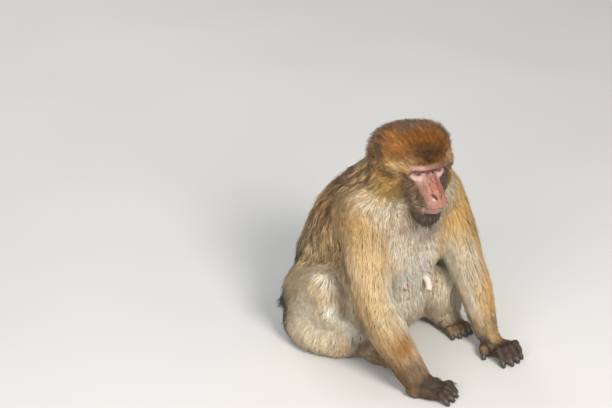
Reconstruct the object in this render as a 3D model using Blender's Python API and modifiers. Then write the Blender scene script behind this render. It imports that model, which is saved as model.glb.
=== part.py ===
"""A Barbary macaque, life size, sitting on its rump with both arms braced in front.

The animal faces -Y, its right side is -X and up is +Z, in metres. The solids give the outer form
of the coat, out to the tips of the hair. Each region is pressed together from soft masses, as a
sculptor builds clay on a wire, drawn into one smooth surface, and parted by thin cuts.
"""

import math

import bmesh
import bpy
from mathutils import Matrix, Vector

# ---------------------------------------------------------------- driving dimensions

CUT_GAP = 0.0004  # free space between neighbouring solids
VOXEL = 0.003  # grain of the clay before it is simplified
FLOOR_BITE = 0.0015  # how far soft undersides are pressed below the floor before they are cut flat
FACES = {"body": 1920, "arm": 735, "leg": 285, "foot": 310, "tail": 70}  # before the cuts
TRUNK_SOFTENING = 220  # rounds of smoothing that blend the trunk's masses
SOFTENING = {"body": 5, "arm": 4, "leg": 8, "foot": 4, "tail": 4}

# The joints of the right (-1) and left (1) sides, as the sitting animal holds them.
SHOULDER = {-1: Vector((-0.076, -0.104, 0.280)), 1: Vector((0.099, -0.136, 0.284))}
ELBOW = {-1: Vector((-0.119, -0.163, 0.168)), 1: Vector((0.107, -0.190, 0.170))}
WRIST = {-1: Vector((-0.093, -0.252, 0.036)), 1: Vector((0.120, -0.237, 0.040))}
WRIST_FRINGE = {-1: Vector((-0.009, 0.009, 0.002)), 1: Vector((0, 0.003, 0))}  # long hair behind it
HAND_TURN = {-1: math.radians(25), 1: math.radians(-7)}  # about +Z, from straight ahead
PALM = {-1: 0.042, 1: 0.046}  # from the wrist to the knuckles
FINGER_REACH = {-1: 0.66, 1: 0.78}  # the fingers' length on the floor, shorter where they bend
THUMB_REACH = {-1: 0.028, 1: 0.018}
KNUCKLE_RISE = {-1: 0.0035, 1: 0.0130}  # how far the middle joints stand above the knuckles
HIP = {-1: Vector((-0.052, 0.048, 0.078)), 1: Vector((0.052, 0.048, 0.078))}
KNEE = {-1: Vector((-0.116, -0.040, 0.142)), 1: Vector((0.107, -0.120, 0.112))}
ANKLE = {-1: Vector((-0.069, -0.072, 0.031)), 1: Vector((0.136, -0.112, 0.038))}
KNEE_RADIUS = {-1: 0.044, 1: 0.049}
SHANK_RADII = {-1: (0.046, 0.030), 1: (0.052, 0.040)}  # at the calf and over the ankle
FOOT_TURN = {-1: math.radians(9), 1: math.radians(-16)}
SOLE = {-1: 0.084, 1: 0.047}  # from the ankle to the toes' knuckles, less where the foot is bunched
ARCH = {-1: 0.0, 1: 0.007}  # how much higher the middle of a bunched foot stands
TOE_REACH = {-1: 1.0, 1: 0.70}
BIG_TOE_SPREAD = {-1: math.radians(34), 1: math.radians(4)}
BIG_TOE_ASIDE = {-1: 0.020, 1: 0.016}
BIG_TOE_LENGTH = {-1: 0.040, 1: 0.033}
TOE_RISE = 0.0035

ARM_ROOT = 0.052  # how far from the middle plane the arm and leg solids begin
LEG_ROOT = 0.034

HEAD_AT = Vector((0.003, -0.136, 0.399))  # middle of the skull, between the ears
HEAD_YAW = math.radians(-20)  # about +Z, towards the animal's right
HEAD_PITCH = math.radians(4)  # nose down

EYE_AT = Vector((0.0205, -0.0600, 0.0110))  # left eye's centre, in the head's frame
EYE_RADIUS = 0.0092
EAR_AT = Vector((0.071, 0.010, 0.002))
EAR_RADII = Vector((0.0050, 0.0130, 0.0170))

NECK_TOP = Vector((0.002, -0.105, 0.345))  # the cuts above and below the neck
NECK_LENGTH = 0.035
NECK_AXIS = Vector((0, -0.42, 0.91)).normalized()
TRUNK_HEART = Vector((0, 0, 0.150))

SIDES = {-1: "right", 1: "left"}

# ---------------------------------------------------------------- materials

COLOURS = {
    "back_fur": (0.26, 0.17, 0.085, 1.0),
    "pale_fur": (0.55, 0.47, 0.34, 1.0),
    "golden_fur": (0.50, 0.31, 0.12, 1.0),
    "crown_fur": (0.36, 0.17, 0.05, 1.0),
    "hand_skin": (0.10, 0.08, 0.075, 1.0),
    "ear_skin": (0.45, 0.25, 0.20, 1.0),
    "eye": (0.10, 0.05, 0.02, 1.0),
}
ROUGHNESS = {"hand_skin": 0.6, "ear_skin": 0.6, "eye": 0.1}
FUR_ROUGHNESS = 0.9

FINISH = {
    "head": "crown_fur",
    "neck": "back_fur",
    "trunk": "back_fur",
    "tail": "back_fur",
    "upper_arm": "golden_fur",
    "forearm": "golden_fur",
    "hand": "hand_skin",
    "thigh": "pale_fur",
    "shank": "pale_fur",
    "foot": "hand_skin",
    "ear": "ear_skin",
    "eye": "eye",
}


def material(name):
    """A Principled surface of the named colour, made once."""
    found = bpy.data.materials.get(name)
    if found:
        return found
    made = bpy.data.materials.new(name)
    made.use_nodes = True
    shader = made.node_tree.nodes["Principled BSDF"]
    shader.inputs["Base Color"].default_value = COLOURS[name]
    shader.inputs["Roughness"].default_value = ROUGHNESS.get(name, FUR_ROUGHNESS)
    shader.inputs["Metallic"].default_value = 0.0
    made.diffuse_color = COLOURS[name]
    return made


# ---------------------------------------------------------------- objects


def collection(name):
    made = bpy.data.collections.new(name)
    bpy.context.scene.collection.children.link(made)
    return made


def clear_scene():
    for obj in list(bpy.data.objects):
        bpy.data.objects.remove(obj)


def new_object(name, mesh, home):
    obj = bpy.data.objects.new(name, mesh)
    home.objects.link(obj)
    return obj


def baked(obj):
    """A mesh of the object as its modifiers leave it, in world space. The object is removed."""
    bpy.context.view_layer.update()
    graph = bpy.context.evaluated_depsgraph_get()
    mesh = bpy.data.meshes.new_from_object(obj.evaluated_get(graph))
    mesh.transform(obj.matrix_world)
    bpy.data.objects.remove(obj)
    return mesh


# ---------------------------------------------------------------- clay


class Clay:
    """A heap of soft masses that becomes one closed surface."""

    def __init__(self, name, home, place=None):
        self.name = name
        self.home = home
        self.place = place or Matrix.Identity(4)
        self.heap = bmesh.new()

    def ball(self, centre, radii, along=(0, 0, 1)):
        """An ellipsoid. Its third radius lies along the given direction."""
        turn = Vector(along).to_track_quat("Z", "Y").to_matrix().to_4x4()
        matrix = self.place @ Matrix.Translation(centre) @ turn @ Matrix.Diagonal((*radii, 1.0))
        lump = bmesh.new()
        bmesh.ops.create_uvsphere(lump, u_segments=40, v_segments=24, radius=1.0, matrix=matrix)
        mesh = bpy.data.meshes.new("ball")
        lump.to_mesh(mesh)
        lump.free()
        self.add(mesh)

    def add(self, mesh):
        """Puts a mesh on the heap and lets go of it."""
        self.heap.from_mesh(mesh)
        bpy.data.meshes.remove(mesh)

    def pair(self, centre, radii, along=(0, 0, 1)):
        """The same ellipsoid on both sides of the middle plane."""
        for side in SIDES:
            self.ball(
                (side * centre[0], *centre[1:]), radii, (side * along[0], along[1], along[2])
            )

    def limb(self, joints, radii):
        """A smooth tapering tube through the joints, with a round ball at each end."""
        curve = bpy.data.curves.new("limb", "CURVE")
        curve.dimensions = "3D"
        curve.bevel_depth = 1.0
        curve.bevel_resolution = 5
        curve.resolution_u = 8
        curve.use_fill_caps = True
        spline = curve.splines.new("BEZIER")
        spline.bezier_points.add(len(joints) - 1)
        for point, joint, radius in zip(spline.bezier_points, joints, radii):
            point.co = joint
            point.radius = radius
            point.handle_left_type = point.handle_right_type = "AUTO"
        mesh = baked(new_object("limb", curve, self.home))
        mesh.transform(self.place)
        self.add(mesh)
        for end in (0, -1):
            self.ball(joints[end], (radii[end],) * 3)

    def drawn(self, smoothing):
        """The heap drawn into one closed surface and softened, as a mesh."""
        mesh = bpy.data.meshes.new(self.name)
        self.heap.to_mesh(mesh)
        self.heap.free()
        obj = new_object(self.name, mesh, self.home)
        remesh = obj.modifiers.new("one surface", "REMESH")
        remesh.mode = "VOXEL"
        remesh.voxel_size = VOXEL
        smooth = obj.modifiers.new("soften", "SMOOTH")
        smooth.factor = 0.5
        smooth.iterations = smoothing
        return baked(obj)

    def fired(self, faces, smoothing):
        """The heap as one smooth closed object, flat at the floor, with about that many faces."""
        made = new_object(self.name, self.drawn(smoothing), self.home)
        simplify = made.modifiers.new("fewer faces", "DECIMATE")
        simplify.ratio = min(1.0, faces / (2.0 * len(made.data.polygons)))
        mesh = baked(made)
        sliced_off(mesh, Vector((0, 0, 0)), Vector((0, 0, 1)))
        return new_object(self.name, mesh, self.home)


def sliced_off(mesh, point, inwards):
    """Removes what lies behind the plane, and closes the cut."""
    work = bmesh.new()
    work.from_mesh(mesh)
    everything = list(work.verts) + list(work.edges) + list(work.faces)
    cut = bmesh.ops.bisect_plane(
        work, geom=everything, dist=1e-5, plane_co=point, plane_no=inwards, clear_inner=True
    )
    rims = [edge for edge in cut["geom_cut"] if isinstance(edge, bmesh.types.BMEdge)]
    if rims:
        bmesh.ops.holes_fill(work, edges=rims, sides=0)
    bmesh.ops.triangulate(work, faces=[face for face in work.faces if len(face.verts) > 4])
    work.to_mesh(mesh)
    work.free()


# ---------------------------------------------------------------- the masses of the body


def head_matrix():
    turn = Matrix.Rotation(HEAD_YAW, 4, "Z") @ Matrix.Rotation(HEAD_PITCH, 4, "X")
    return Matrix.Translation(HEAD_AT) @ turn


def add_head(clay):
    """Skull, crown hair, ruff, brow, muzzle and chin, in the head's own frame."""
    clay.place = head_matrix()
    clay.ball((0, 0.016, -0.002), (0.070, 0.077, 0.057))  # skull under the crown hair
    clay.ball((0, -0.010, 0.035), (0.070, 0.058, 0.042))  # hair standing over the forehead
    clay.pair((0.047, -0.020, 0.006), (0.027, 0.034, 0.030))  # temple
    clay.pair((0.047, 0.004, -0.032), (0.033, 0.048, 0.046))  # ruff
    clay.pair((0.040, -0.030, -0.024), (0.027, 0.032, 0.034))  # cheek
    brow = [(-0.037, -0.055, 0.018), (-0.017, -0.0675, 0.0225)]
    brow += [(-x, y, z) for x, y, z in reversed(brow)]
    clay.limb(brow, (0.0075, 0.0088, 0.0088, 0.0075))
    clay.pair((0.032, -0.050, -0.003), (0.015, 0.014, 0.012))  # cheekbone
    clay.ball((0, -0.048, -0.020), (0.034, 0.030, 0.030))  # root of the muzzle
    clay.limb([(0, -0.058, -0.020), (0, -0.083, -0.031), (0, -0.096, -0.036)], (0.028, 0.0245, 0.020))
    clay.limb([(0, -0.064, 0.012), (0, -0.084, -0.003), (0, -0.101, -0.018)], (0.0080, 0.0090, 0.0100))
    clay.pair((0.011, -0.098, -0.033), (0.014, 0.015, 0.012))  # upper lip
    clay.ball((0, -0.095, -0.051), (0.019, 0.017, 0.012))  # lower lip
    clay.ball((0, -0.068, -0.052), (0.033, 0.037, 0.021))  # jaw
    clay.ball((0, -0.066, -0.070), (0.032, 0.033, 0.022))  # beard
    clay.ball((0, -0.018, -0.056), (0.052, 0.048, 0.034))  # throat ruff
    clay.place = Matrix.Identity(4)


def add_trunk(clay):
    """Rump, belly, back, chest and neck: one heavy pear leaning forward over the belly."""
    clay.ball((0, 0.030, 0.078), (0.102, 0.082, 0.086))  # rump
    clay.ball((0, 0.014, 0.150), (0.109, 0.096, 0.104))  # loins
    clay.ball((0, -0.006, 0.200), (0.107, 0.098, 0.096))  # small of the back
    clay.ball((0, -0.055, 0.103), (0.110, 0.106, 0.092))  # belly
    clay.ball((0, -0.070, 0.172), (0.104, 0.100, 0.092))  # lower chest
    clay.ball((0, -0.034, 0.244), (0.109, 0.100, 0.098))  # rib cage
    clay.ball((0, -0.090, 0.260), (0.104, 0.082, 0.080))  # upper chest
    clay.ball((0, -0.110, 0.298), (0.080, 0.068, 0.060))  # throat
    clay.pair((0.058, -0.112, 0.222), (0.050, 0.062, 0.074))  # side of the chest, in front of the arm pit
    clay.limb([(0, -0.050, 0.274), (0.001, -0.080, 0.322), (0.003, -0.114, 0.370)], (0.088, 0.077, 0.058))
    for side in SIDES:
        clay.ball(SHOULDER[side] + Vector((-side * 0.014, 0.018, 0.014)), (0.064, 0.064, 0.064))


def add_tail(clay):
    """The stub that is all this macaque has for a tail."""
    clay.limb([(0, 0.096, 0.112), (0, 0.116, 0.104), (0, 0.130, 0.092)], (0.020, 0.014, 0.008))


def add_arm(clay, side):
    shoulder, elbow, wrist = SHOULDER[side], ELBOW[side], WRIST[side]
    upper = shoulder.lerp(elbow, 0.5) + Vector((side * 0.004, 0.004, 0))
    fore = elbow.lerp(wrist, 0.42) + Vector((side * 0.003, 0, 0.002))
    clay.limb([shoulder, upper, elbow], (0.046, 0.044, 0.037))
    clay.limb([elbow, fore, wrist], (0.037, 0.033, 0.0225))
    clay.limb([fore + WRIST_FRINGE[side], wrist + WRIST_FRINGE[side]], (0.031, 0.0235))
    clay.ball(elbow + Vector((0, 0.010, 0.012)), (0.031, 0.035, 0.036))
    add_hand(clay, side)


def add_hand(clay, side):
    """Palm down on the floor, the fingers a little spread. -Y is towards the finger tips."""
    wrist = WRIST[side]
    turn = Matrix.Rotation(HAND_TURN[side], 4, "Z")
    clay.place = Matrix.Translation((wrist.x, wrist.y, 0)) @ turn
    palm = PALM[side]
    clay.limb([(0, 0.0, wrist.z), (0, -0.36 * palm, 0.023), (0, -0.68 * palm, 0.017)], (0.020, 0.019, 0.0145))
    clay.ball((0, -0.60 * palm, 0.012), (0.026, 0.72 * palm, 0.0138))
    clay.ball((side * 0.012, -0.002, 0.012), (0.014, 0.018, 0.013))  # heel of the hand
    rise = KNUCKLE_RISE[side]
    clay.ball((side * 0.004, 0.006 - palm, 0.012 + rise * 0.5), (0.025, 0.022, 0.013))  # knuckles
    lengths = (0.034, 0.041, 0.039, 0.031)
    for place, length in enumerate(lengths):
        across = -side * (0.0195 - 0.0130 * place)
        fan = math.radians(-side * (9 - 6.5 * place))
        reach = length * FINGER_REACH[side]
        add_digit(clay, Vector((across, -palm, 0.0125)), fan, reach, 0.0074, rise)
    thumb = Vector((-side * 0.022, 0.032 - palm, 0.012))
    add_digit(clay, thumb, math.radians(-side * 38), THUMB_REACH[side], 0.0072, TOE_RISE)
    clay.place = Matrix.Identity(4)


def add_digit(clay, base, fan, length, radius, rise):
    """A finger or toe: arched over its middle joint, its tip flat on the floor."""
    ahead = Vector((math.sin(fan), -math.cos(fan), 0))
    knuckle = base + ahead * length * 0.42 + Vector((0, 0, rise))
    tip = base + ahead * length
    tip.z = radius * 0.86 - FLOOR_BITE * 0.5
    clay.limb([base, knuckle, tip], (radius * 1.12, radius * 1.04, radius * 0.84))


def add_leg(clay, side):
    """Thigh and shank of the folded leg, with the haunch that spreads on the floor."""
    hip, knee, ankle = HIP[side], KNEE[side], ANKLE[side]
    thigh = hip.lerp(knee, 0.45) + Vector((side * 0.008, 0.004, 0))
    calf = knee.lerp(ankle, 0.40) + Vector((0, 0.006, 0))
    clay.limb([hip, thigh, knee], (0.066, 0.062, KNEE_RADIUS[side]))
    clay.limb([knee, calf, ankle], (KNEE_RADIUS[side], *SHANK_RADII[side]))
    clay.ball((side * 0.081, -0.006, 0.036), (0.069, 0.098, 0.056))  # haunch on the floor


def add_foot(clay, side):
    """Sole on the floor. The heel is under the ankle and -Y is towards the toes."""
    ankle = ANKLE[side]
    clay.place = Matrix.Translation((ankle.x, ankle.y, 0)) @ Matrix.Rotation(FOOT_TURN[side], 4, "Z")
    sole, arch = SOLE[side], ARCH[side]
    middle = [(0, -0.24 * sole, 0.022 + arch), (0, -0.71 * sole, 0.0155 + arch * 0.5)]
    clay.limb([(0, 0.016, 0.017), *middle], (0.019, 0.022, 0.0165))
    clay.ball((0, -0.69 * sole, 0.012), (0.026, 0.43 * sole, 0.014))
    lengths = (0.030, 0.034, 0.033, 0.029)
    for place, length in enumerate(lengths):
        across = -side * (0.0170 - 0.0118 * place)
        fan = math.radians(-side * (7 - 6 * place))
        reach = length * TOE_REACH[side]
        add_digit(clay, Vector((across, -sole, 0.0120)), fan, reach, 0.0072, TOE_RISE)
    big_toe = Vector((-side * BIG_TOE_ASIDE[side], -0.45 * sole, 0.012))
    add_digit(clay, big_toe, -side * BIG_TOE_SPREAD[side], BIG_TOE_LENGTH[side], 0.0084, TOE_RISE)
    clay.place = Matrix.Identity(4)


# ---------------------------------------------------------------- parting the body


def swollen(obj, amount, home):
    """A cutter: the object's surface pushed outwards by the amount."""
    mesh = obj.data.copy()
    for vertex, normal in zip(mesh.vertices, [v.normal.copy() for v in mesh.vertices]):
        vertex.co += normal * amount
    return guide(new_object(obj.name + "_cutter", mesh, home))


def guide(obj):
    obj.hide_render = True
    obj.display_type = "WIRE"
    return obj


def carved(obj, cutter, home):
    """The object with the cutter's space taken out of it. The cutter stays a guide."""
    name = obj.name
    cut = obj.modifiers.new("cut", "BOOLEAN")
    cut.operation = "DIFFERENCE"
    cut.solver = "EXACT"
    cut.object = cutter
    mesh = baked(obj)
    return new_object(name, mesh, home)


def disc(centre, normal, radius, home):
    """A round blade as thick as the gap that a cut leaves."""
    turn = normal.to_track_quat("Z", "Y").to_matrix().to_4x4()
    blade = bmesh.new()
    bmesh.ops.create_cone(
        blade,
        cap_ends=True,
        segments=48,
        radius1=radius,
        radius2=radius,
        depth=CUT_GAP,
        matrix=Matrix.Translation(centre) @ turn,
    )
    mesh = bpy.data.meshes.new("blade")
    blade.to_mesh(mesh)
    blade.free()
    return guide(new_object("blade", mesh, home))


def parted(obj, hearts, home):
    """Splits a cut object into its loose pieces, each named for the nearest heart point."""
    work = bmesh.new()
    work.from_mesh(obj.data)
    bpy.data.objects.remove(obj)
    pieces = {}
    waiting = set(work.verts)
    while waiting:
        island = {waiting.pop()}
        edge_of_island = list(island)
        while edge_of_island:
            vertex = edge_of_island.pop()
            for edge in vertex.link_edges:
                other = edge.other_vert(vertex)
                if other in waiting:
                    waiting.discard(other)
                    island.add(other)
                    edge_of_island.append(other)
        middle = sum((v.co for v in island), Vector()) / len(island)
        name = min(hearts, key=lambda key: (hearts[key] - middle).length)
        pieces.setdefault(name, set()).update(island)
    made = []
    for name in hearts:
        piece = work.copy()
        keep = {v.index for v in pieces[name]}
        piece.verts.ensure_lookup_table()
        extra = [v for v in piece.verts if v.index not in keep]
        bmesh.ops.delete(piece, geom=extra, context="VERTS")
        bmesh.ops.triangulate(piece, faces=piece.faces)
        mesh = bpy.data.meshes.new(name)
        piece.to_mesh(mesh)
        piece.free()
        made.append(new_object(name, mesh, home))
    work.free()
    return made


def sculpted(kind, add, home, *args):
    """One region of clay, from the function that heaps its masses."""
    clay = Clay(kind, home)
    add(clay, *args)
    return clay.fired(FACES[kind], SOFTENING[kind])


def add_body(clay):
    trunk = Clay("trunk", clay.home)
    add_trunk(trunk)
    clay.add(trunk.drawn(TRUNK_SOFTENING))
    add_head(clay)


def small_ball(name, centre, radii, segments, home):
    """An eye or an ear, in the head's frame."""
    ball = bmesh.new()
    place = head_matrix() @ Matrix.Translation(centre) @ Matrix.Diagonal((*radii, 1.0))
    bmesh.ops.create_uvsphere(
        ball, u_segments=segments, v_segments=segments * 5 // 8, radius=1.0, matrix=place
    )
    bmesh.ops.triangulate(ball, faces=ball.faces)
    mesh = bpy.data.meshes.new(name)
    ball.to_mesh(mesh)
    ball.free()
    return new_object(name, mesh, home)


def make_limbs(side, word, home, tools):
    """The arm, leg and foot of one side, and the cutters that make room for them."""
    arm = sculpted("arm", add_arm, home, side)
    foot = sculpted("foot", add_foot, home, side)
    leg = sculpted("leg", add_leg, home, side)
    outwards = Vector((side, 0, 0))
    sliced_off(arm.data, outwards * ARM_ROOT, outwards)
    sliced_off(leg.data, outwards * LEG_ROOT, outwards)
    leg = carved(leg, swollen(foot, CUT_GAP, tools), home)
    rooms = [swollen(obj, CUT_GAP, tools) for obj in (arm, leg, foot)]
    foot.name = "foot_" + word

    shoulder, elbow, wrist = SHOULDER[side], ELBOW[side], WRIST[side]
    hip, knee, ankle = HIP[side], KNEE[side], ANKLE[side]
    fold = (shoulder - elbow).normalized() - (wrist - elbow).normalized()
    arm = carved(arm, disc(elbow, fold, 0.075, tools), home)
    arm = carved(arm, disc(wrist + Vector((0, 0, 0.004)), elbow - wrist, 0.045, tools), home)
    palm = Vector((wrist.x, wrist.y - 0.045, 0.012))
    parted(
        arm,
        {
            "upper_arm_" + word: shoulder.lerp(elbow, 0.5),
            "forearm_" + word: elbow.lerp(wrist, 0.5),
            "hand_" + word: palm,
        },
        home,
    )
    along_thigh = (hip - knee).normalized()
    along_shank = (ankle - knee).normalized()
    blade_at = knee + (along_thigh + along_shank) * 0.04
    leg = carved(leg, disc(blade_at, along_thigh - along_shank, 0.190, tools), home)
    parted(
        leg,
        {"thigh_" + word: hip.lerp(knee, 0.3), "shank_" + word: knee.lerp(ankle, 0.7)},
        home,
    )
    return rooms


def make_body(rooms, home, tools):
    """Trunk, neck and head, with the eyes and ears let into the head, and the tail."""
    body = sculpted("body", add_body, home)
    tail = sculpted("tail", add_tail, home)
    carved(tail, swollen(body, CUT_GAP, tools), home)
    for room in rooms:
        body = carved(body, room, home)
    for side, word in SIDES.items():
        eye_at = Vector((side * EYE_AT.x, EYE_AT.y, EYE_AT.z))
        eye = small_ball("eye_" + word, eye_at, (EYE_RADIUS,) * 3, 16, home)
        ear_at = Vector((side * EAR_AT.x, EAR_AT.y, EAR_AT.z))
        ear = small_ball("ear_" + word, ear_at, EAR_RADII, 12, home)
        for organ in (eye, ear):
            body = carved(body, swollen(organ, CUT_GAP, tools), home)
    neck_low = NECK_TOP - NECK_AXIS * NECK_LENGTH
    for cut_at in (NECK_TOP, neck_low):
        body = carved(body, disc(cut_at, NECK_AXIS, 0.160, tools), home)
    parted(
        body,
        {"trunk": TRUNK_HEART, "neck": NECK_TOP.lerp(neck_low, 0.5), "head": HEAD_AT},
        home,
    )


def finish(home):
    """Gives each piece its surface, and stands the animal on the middle of its own floor plan."""
    corners = [corner.co for obj in home.objects for corner in obj.data.vertices]
    low = Vector([min(c[axis] for c in corners) for axis in range(3)])
    high = Vector([max(c[axis] for c in corners) for axis in range(3)])
    middle = Vector(((low.x + high.x) / 2, (low.y + high.y) / 2, low.z))
    for obj in home.objects:
        obj.data.transform(Matrix.Translation(-middle))
        kind = obj.name.removesuffix("_left").removesuffix("_right")
        obj.data.materials.clear()
        obj.data.materials.append(material(FINISH[kind]))
        obj.data.shade_smooth()
        obj.data.set_sharp_from_angle(angle=math.radians(50))
    print("stands at", tuple(round(value, 4) for value in middle))


def main():
    clear_scene()
    animal = collection("barbary_macaque")
    tools = collection("cutters")
    rooms = []
    for side, word in SIDES.items():
        rooms += make_limbs(side, word, animal, tools)
    make_body(rooms, animal, tools)
    finish(animal)


main()
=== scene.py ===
# %% [markdown]
# # A Barbary macaque, sitting with both arms braced in front
# The construction model gives the outer form of the animal, out to the tips of its coat. This lesson dresses
# it: one skin is drawn over the flesh, a face is modelled on it, and a coat of hair locks is grown from it.
# The construction model is loaded first and kept, for the coat is grown up to its surface.

import math

import bmesh
import bpy
import numpy as np
from mathutils import Matrix, Vector, noise
from mathutils.bvhtree import BVHTree


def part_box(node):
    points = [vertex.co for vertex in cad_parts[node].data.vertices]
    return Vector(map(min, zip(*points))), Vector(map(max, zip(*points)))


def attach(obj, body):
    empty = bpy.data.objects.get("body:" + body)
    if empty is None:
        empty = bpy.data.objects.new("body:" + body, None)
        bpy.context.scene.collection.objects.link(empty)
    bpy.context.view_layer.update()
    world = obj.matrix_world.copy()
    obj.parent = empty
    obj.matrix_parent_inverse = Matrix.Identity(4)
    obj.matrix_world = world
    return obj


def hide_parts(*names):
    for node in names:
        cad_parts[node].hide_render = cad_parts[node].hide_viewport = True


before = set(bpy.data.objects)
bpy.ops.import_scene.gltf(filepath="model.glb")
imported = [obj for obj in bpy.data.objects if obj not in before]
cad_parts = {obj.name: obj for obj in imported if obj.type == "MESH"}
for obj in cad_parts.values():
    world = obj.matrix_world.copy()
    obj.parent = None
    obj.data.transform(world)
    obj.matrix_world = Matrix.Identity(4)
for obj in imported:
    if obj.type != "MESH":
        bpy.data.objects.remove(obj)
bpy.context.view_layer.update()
chance = np.random.default_rng(7)

# %% [markdown]
# Every place on the animal is measured from the head. The two eyes are the only solids whose middle is a
# landmark of the skull, so the head's own frame is hung from them: x to the animal's left, y to the back of
# the skull and z to the crown. The head is turned to the animal's right and a little down. The joints of the
# limbs are then placed from the head, where the construction model has them.

# %% Find the head and the joints
turn = Matrix.Rotation(math.radians(-20), 4, "Z") @ Matrix.Rotation(math.radians(4), 4, "X")
EYE = Vector((0.0205, -0.0600, 0.0110))  # the left eye, in the head's frame
EYE_RADIUS = 0.0092
eye_middles = [sum(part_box(name), Vector()) / 2 for name in ("eye_left", "eye_right")]
between_eyes = (eye_middles[0] + eye_middles[1]) / 2
HEAD = Matrix.Translation(between_eyes - turn @ Vector((0, EYE.y, EYE.z))) @ turn
moved = HEAD.translation - Vector((0.003, -0.136, 0.399))


def at(x, y, z):
    """A point of the body, measured as the construction model measures it."""
    return Vector((x, y, z)) + moved


SHOULDER = {-1: at(-0.076, -0.104, 0.280), 1: at(0.099, -0.136, 0.284)}
ELBOW = {-1: at(-0.119, -0.163, 0.168), 1: at(0.107, -0.190, 0.170)}
WRIST = {-1: at(-0.093, -0.252, 0.036), 1: at(0.120, -0.237, 0.040)}
HIP = {-1: at(-0.052, 0.048, 0.078), 1: at(0.052, 0.048, 0.078)}
KNEE = {-1: at(-0.116, -0.040, 0.142), 1: at(0.107, -0.120, 0.112)}
ANKLE = {-1: at(-0.069, -0.072, 0.031), 1: at(0.136, -0.112, 0.038)}
HAND_TURN = {-1: math.radians(25), 1: math.radians(-7)}
FOOT_TURN = {-1: math.radians(9), 1: math.radians(-16)}
PALM = {-1: 0.042, 1: 0.046}  # from the wrist to the knuckles
SOLE = {-1: 0.084, 1: 0.047}  # from the ankle to the toes' knuckles, less in the foot that is bunched up
SIDES = {-1: "right", 1: "left"}
print("head at", [round(v, 3) for v in HEAD.translation])

# %% [markdown]
# ## The regions of the body
# Depth of coat, lie of hair and colour all change from one part of the body to the next. Each part is
# described by a few capsules, a line with a thickness, and a point belongs to a part by how deep inside or
# how far outside its capsules it lies. The shares blend over a centimetre or so, so nothing ends in a line.

# %% Describe the parts with capsules
def ends(*points):
    return np.array([tuple(p) for p in points])


def ahead_of(joint, turned, reach, height):
    """A point on the floor side of a paw, a reach in front of its joint."""
    way = Matrix.Rotation(turned, 3, "Z") @ Vector((0, -reach, 0))
    return Vector((joint.x, joint.y, 0)) + way + Vector((0, 0, height))


CAPSULES = {
    "head": [
        (ends(HEAD @ Vector((0, 0.010, 0.004)), HEAD @ Vector((0, -0.050, -0.030))), 0.060),
        (ends(HEAD @ Vector((-0.062, -0.012, -0.038)), HEAD @ Vector((-0.056, -0.036, -0.074))), 0.034),
        (ends(HEAD @ Vector((0.062, -0.012, -0.038)), HEAD @ Vector((0.056, -0.036, -0.074))), 0.034),
    ],
    "trunk": [
        (ends(at(0, 0.030, 0.085), at(0, -0.020, 0.250)), 0.098),
        (ends(at(0, -0.060, 0.110), at(0, -0.090, 0.260)), 0.092),
        (ends(at(0, -0.050, 0.274), at(0.003, -0.100, 0.350)), 0.066),
    ],
    "tail": [(ends(at(0, 0.110, 0.108), at(0, 0.130, 0.092)), 0.012)],
}
for side, word in SIDES.items():
    CAPSULES["upper_arm_" + word] = [(ends(SHOULDER[side], ELBOW[side]), 0.044)]
    CAPSULES["forearm_" + word] = [(ends(ELBOW[side], WRIST[side]), 0.030)]
    palm = [ahead_of(WRIST[side], HAND_TURN[side], reach, 0.012) for reach in (0.012, PALM[side] + 0.032)]
    CAPSULES["hand_" + word] = [(ends(*palm), 0.020)]
    haunch = at(side * 0.081, -0.006, 0.036)
    CAPSULES["thigh_" + word] = [
        (ends(HIP[side], KNEE[side]), 0.060),
        (ends(haunch + Vector((0, 0.04, 0)), haunch - Vector((0, 0.03, 0))), 0.054),
    ]
    CAPSULES["shank_" + word] = [(ends(KNEE[side], ANKLE[side]), 0.043)]
    sole = [ahead_of(ANKLE[side], FOOT_TURN[side], reach, 0.012) for reach in (0.0, SOLE[side] + 0.028)]
    CAPSULES["foot_" + word] = [(ends(*sole), 0.022)]
PARTS = list(CAPSULES)
PART_AT = {name: place for place, name in enumerate(PARTS)}
BLEND = 0.006  # metres over which one part gives way to the next


def outside(points, capsule):
    """How far points lie outside a capsule. Inside it the figure is negative."""
    (start, end), radius = capsule
    line = end - start
    along = np.clip((points - start) @ line / (line @ line), 0, 1)
    return np.linalg.norm(points - start - along[:, None] * line, axis=1) - radius


def shares_of(points):
    """Each point's share in every part. The shares of a point add up to one."""
    far = np.stack([np.min([outside(points, c) for c in CAPSULES[name]], axis=0) for name in PARTS], 1)
    pull = np.exp(-(far - far.min(1, keepdims=True)) / BLEND)
    return pull / pull.sum(1, keepdims=True)


def step(low, high, x):
    """0 below low, 1 above high, and a smooth rise between."""
    t = np.clip((x - low) / (high - low), 0, 1)
    return t * t * (3 - 2 * t)


def hill(x, width):
    """1 where x is 0, falling to 0 on both sides over about that width."""
    return np.exp(-((x / width) ** 2))


def bump(points, middle, radii):
    """1 at the middle of a soft ellipsoid, falling to 0 outside it."""
    return np.exp(-(((points - np.array(middle)) / np.array(radii)) ** 2).sum(1))


def in_head(points):
    """The points in the head's own frame."""
    back = np.array(HEAD.inverted())
    return points @ back[:3, :3].T + back[:3, 3]


print("parts:", ", ".join(PARTS))

# %% [markdown]
# ## Clay for the skin
# The skin is built as a sculptor builds clay: many soft masses are pushed together and drawn into one
# surface with a voxel remesh. The masses are the construction solids themselves, shrunk by the depth of the
# coat, and small balls for what shows bare: the muzzle, brow and lids, the ears, the fingers and toes.
# One ball is modelled and every other ball is a copy of it, stretched to its size.

# %% Model the ball that all small masses are copied from
def deselect():
    for obj in bpy.context.selected_objects:
        obj.select_set(False)


def select_only(*objs):
    deselect()
    for obj in objs:
        obj.select_set(True)
    bpy.context.view_layer.objects.active = objs[0]


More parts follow.
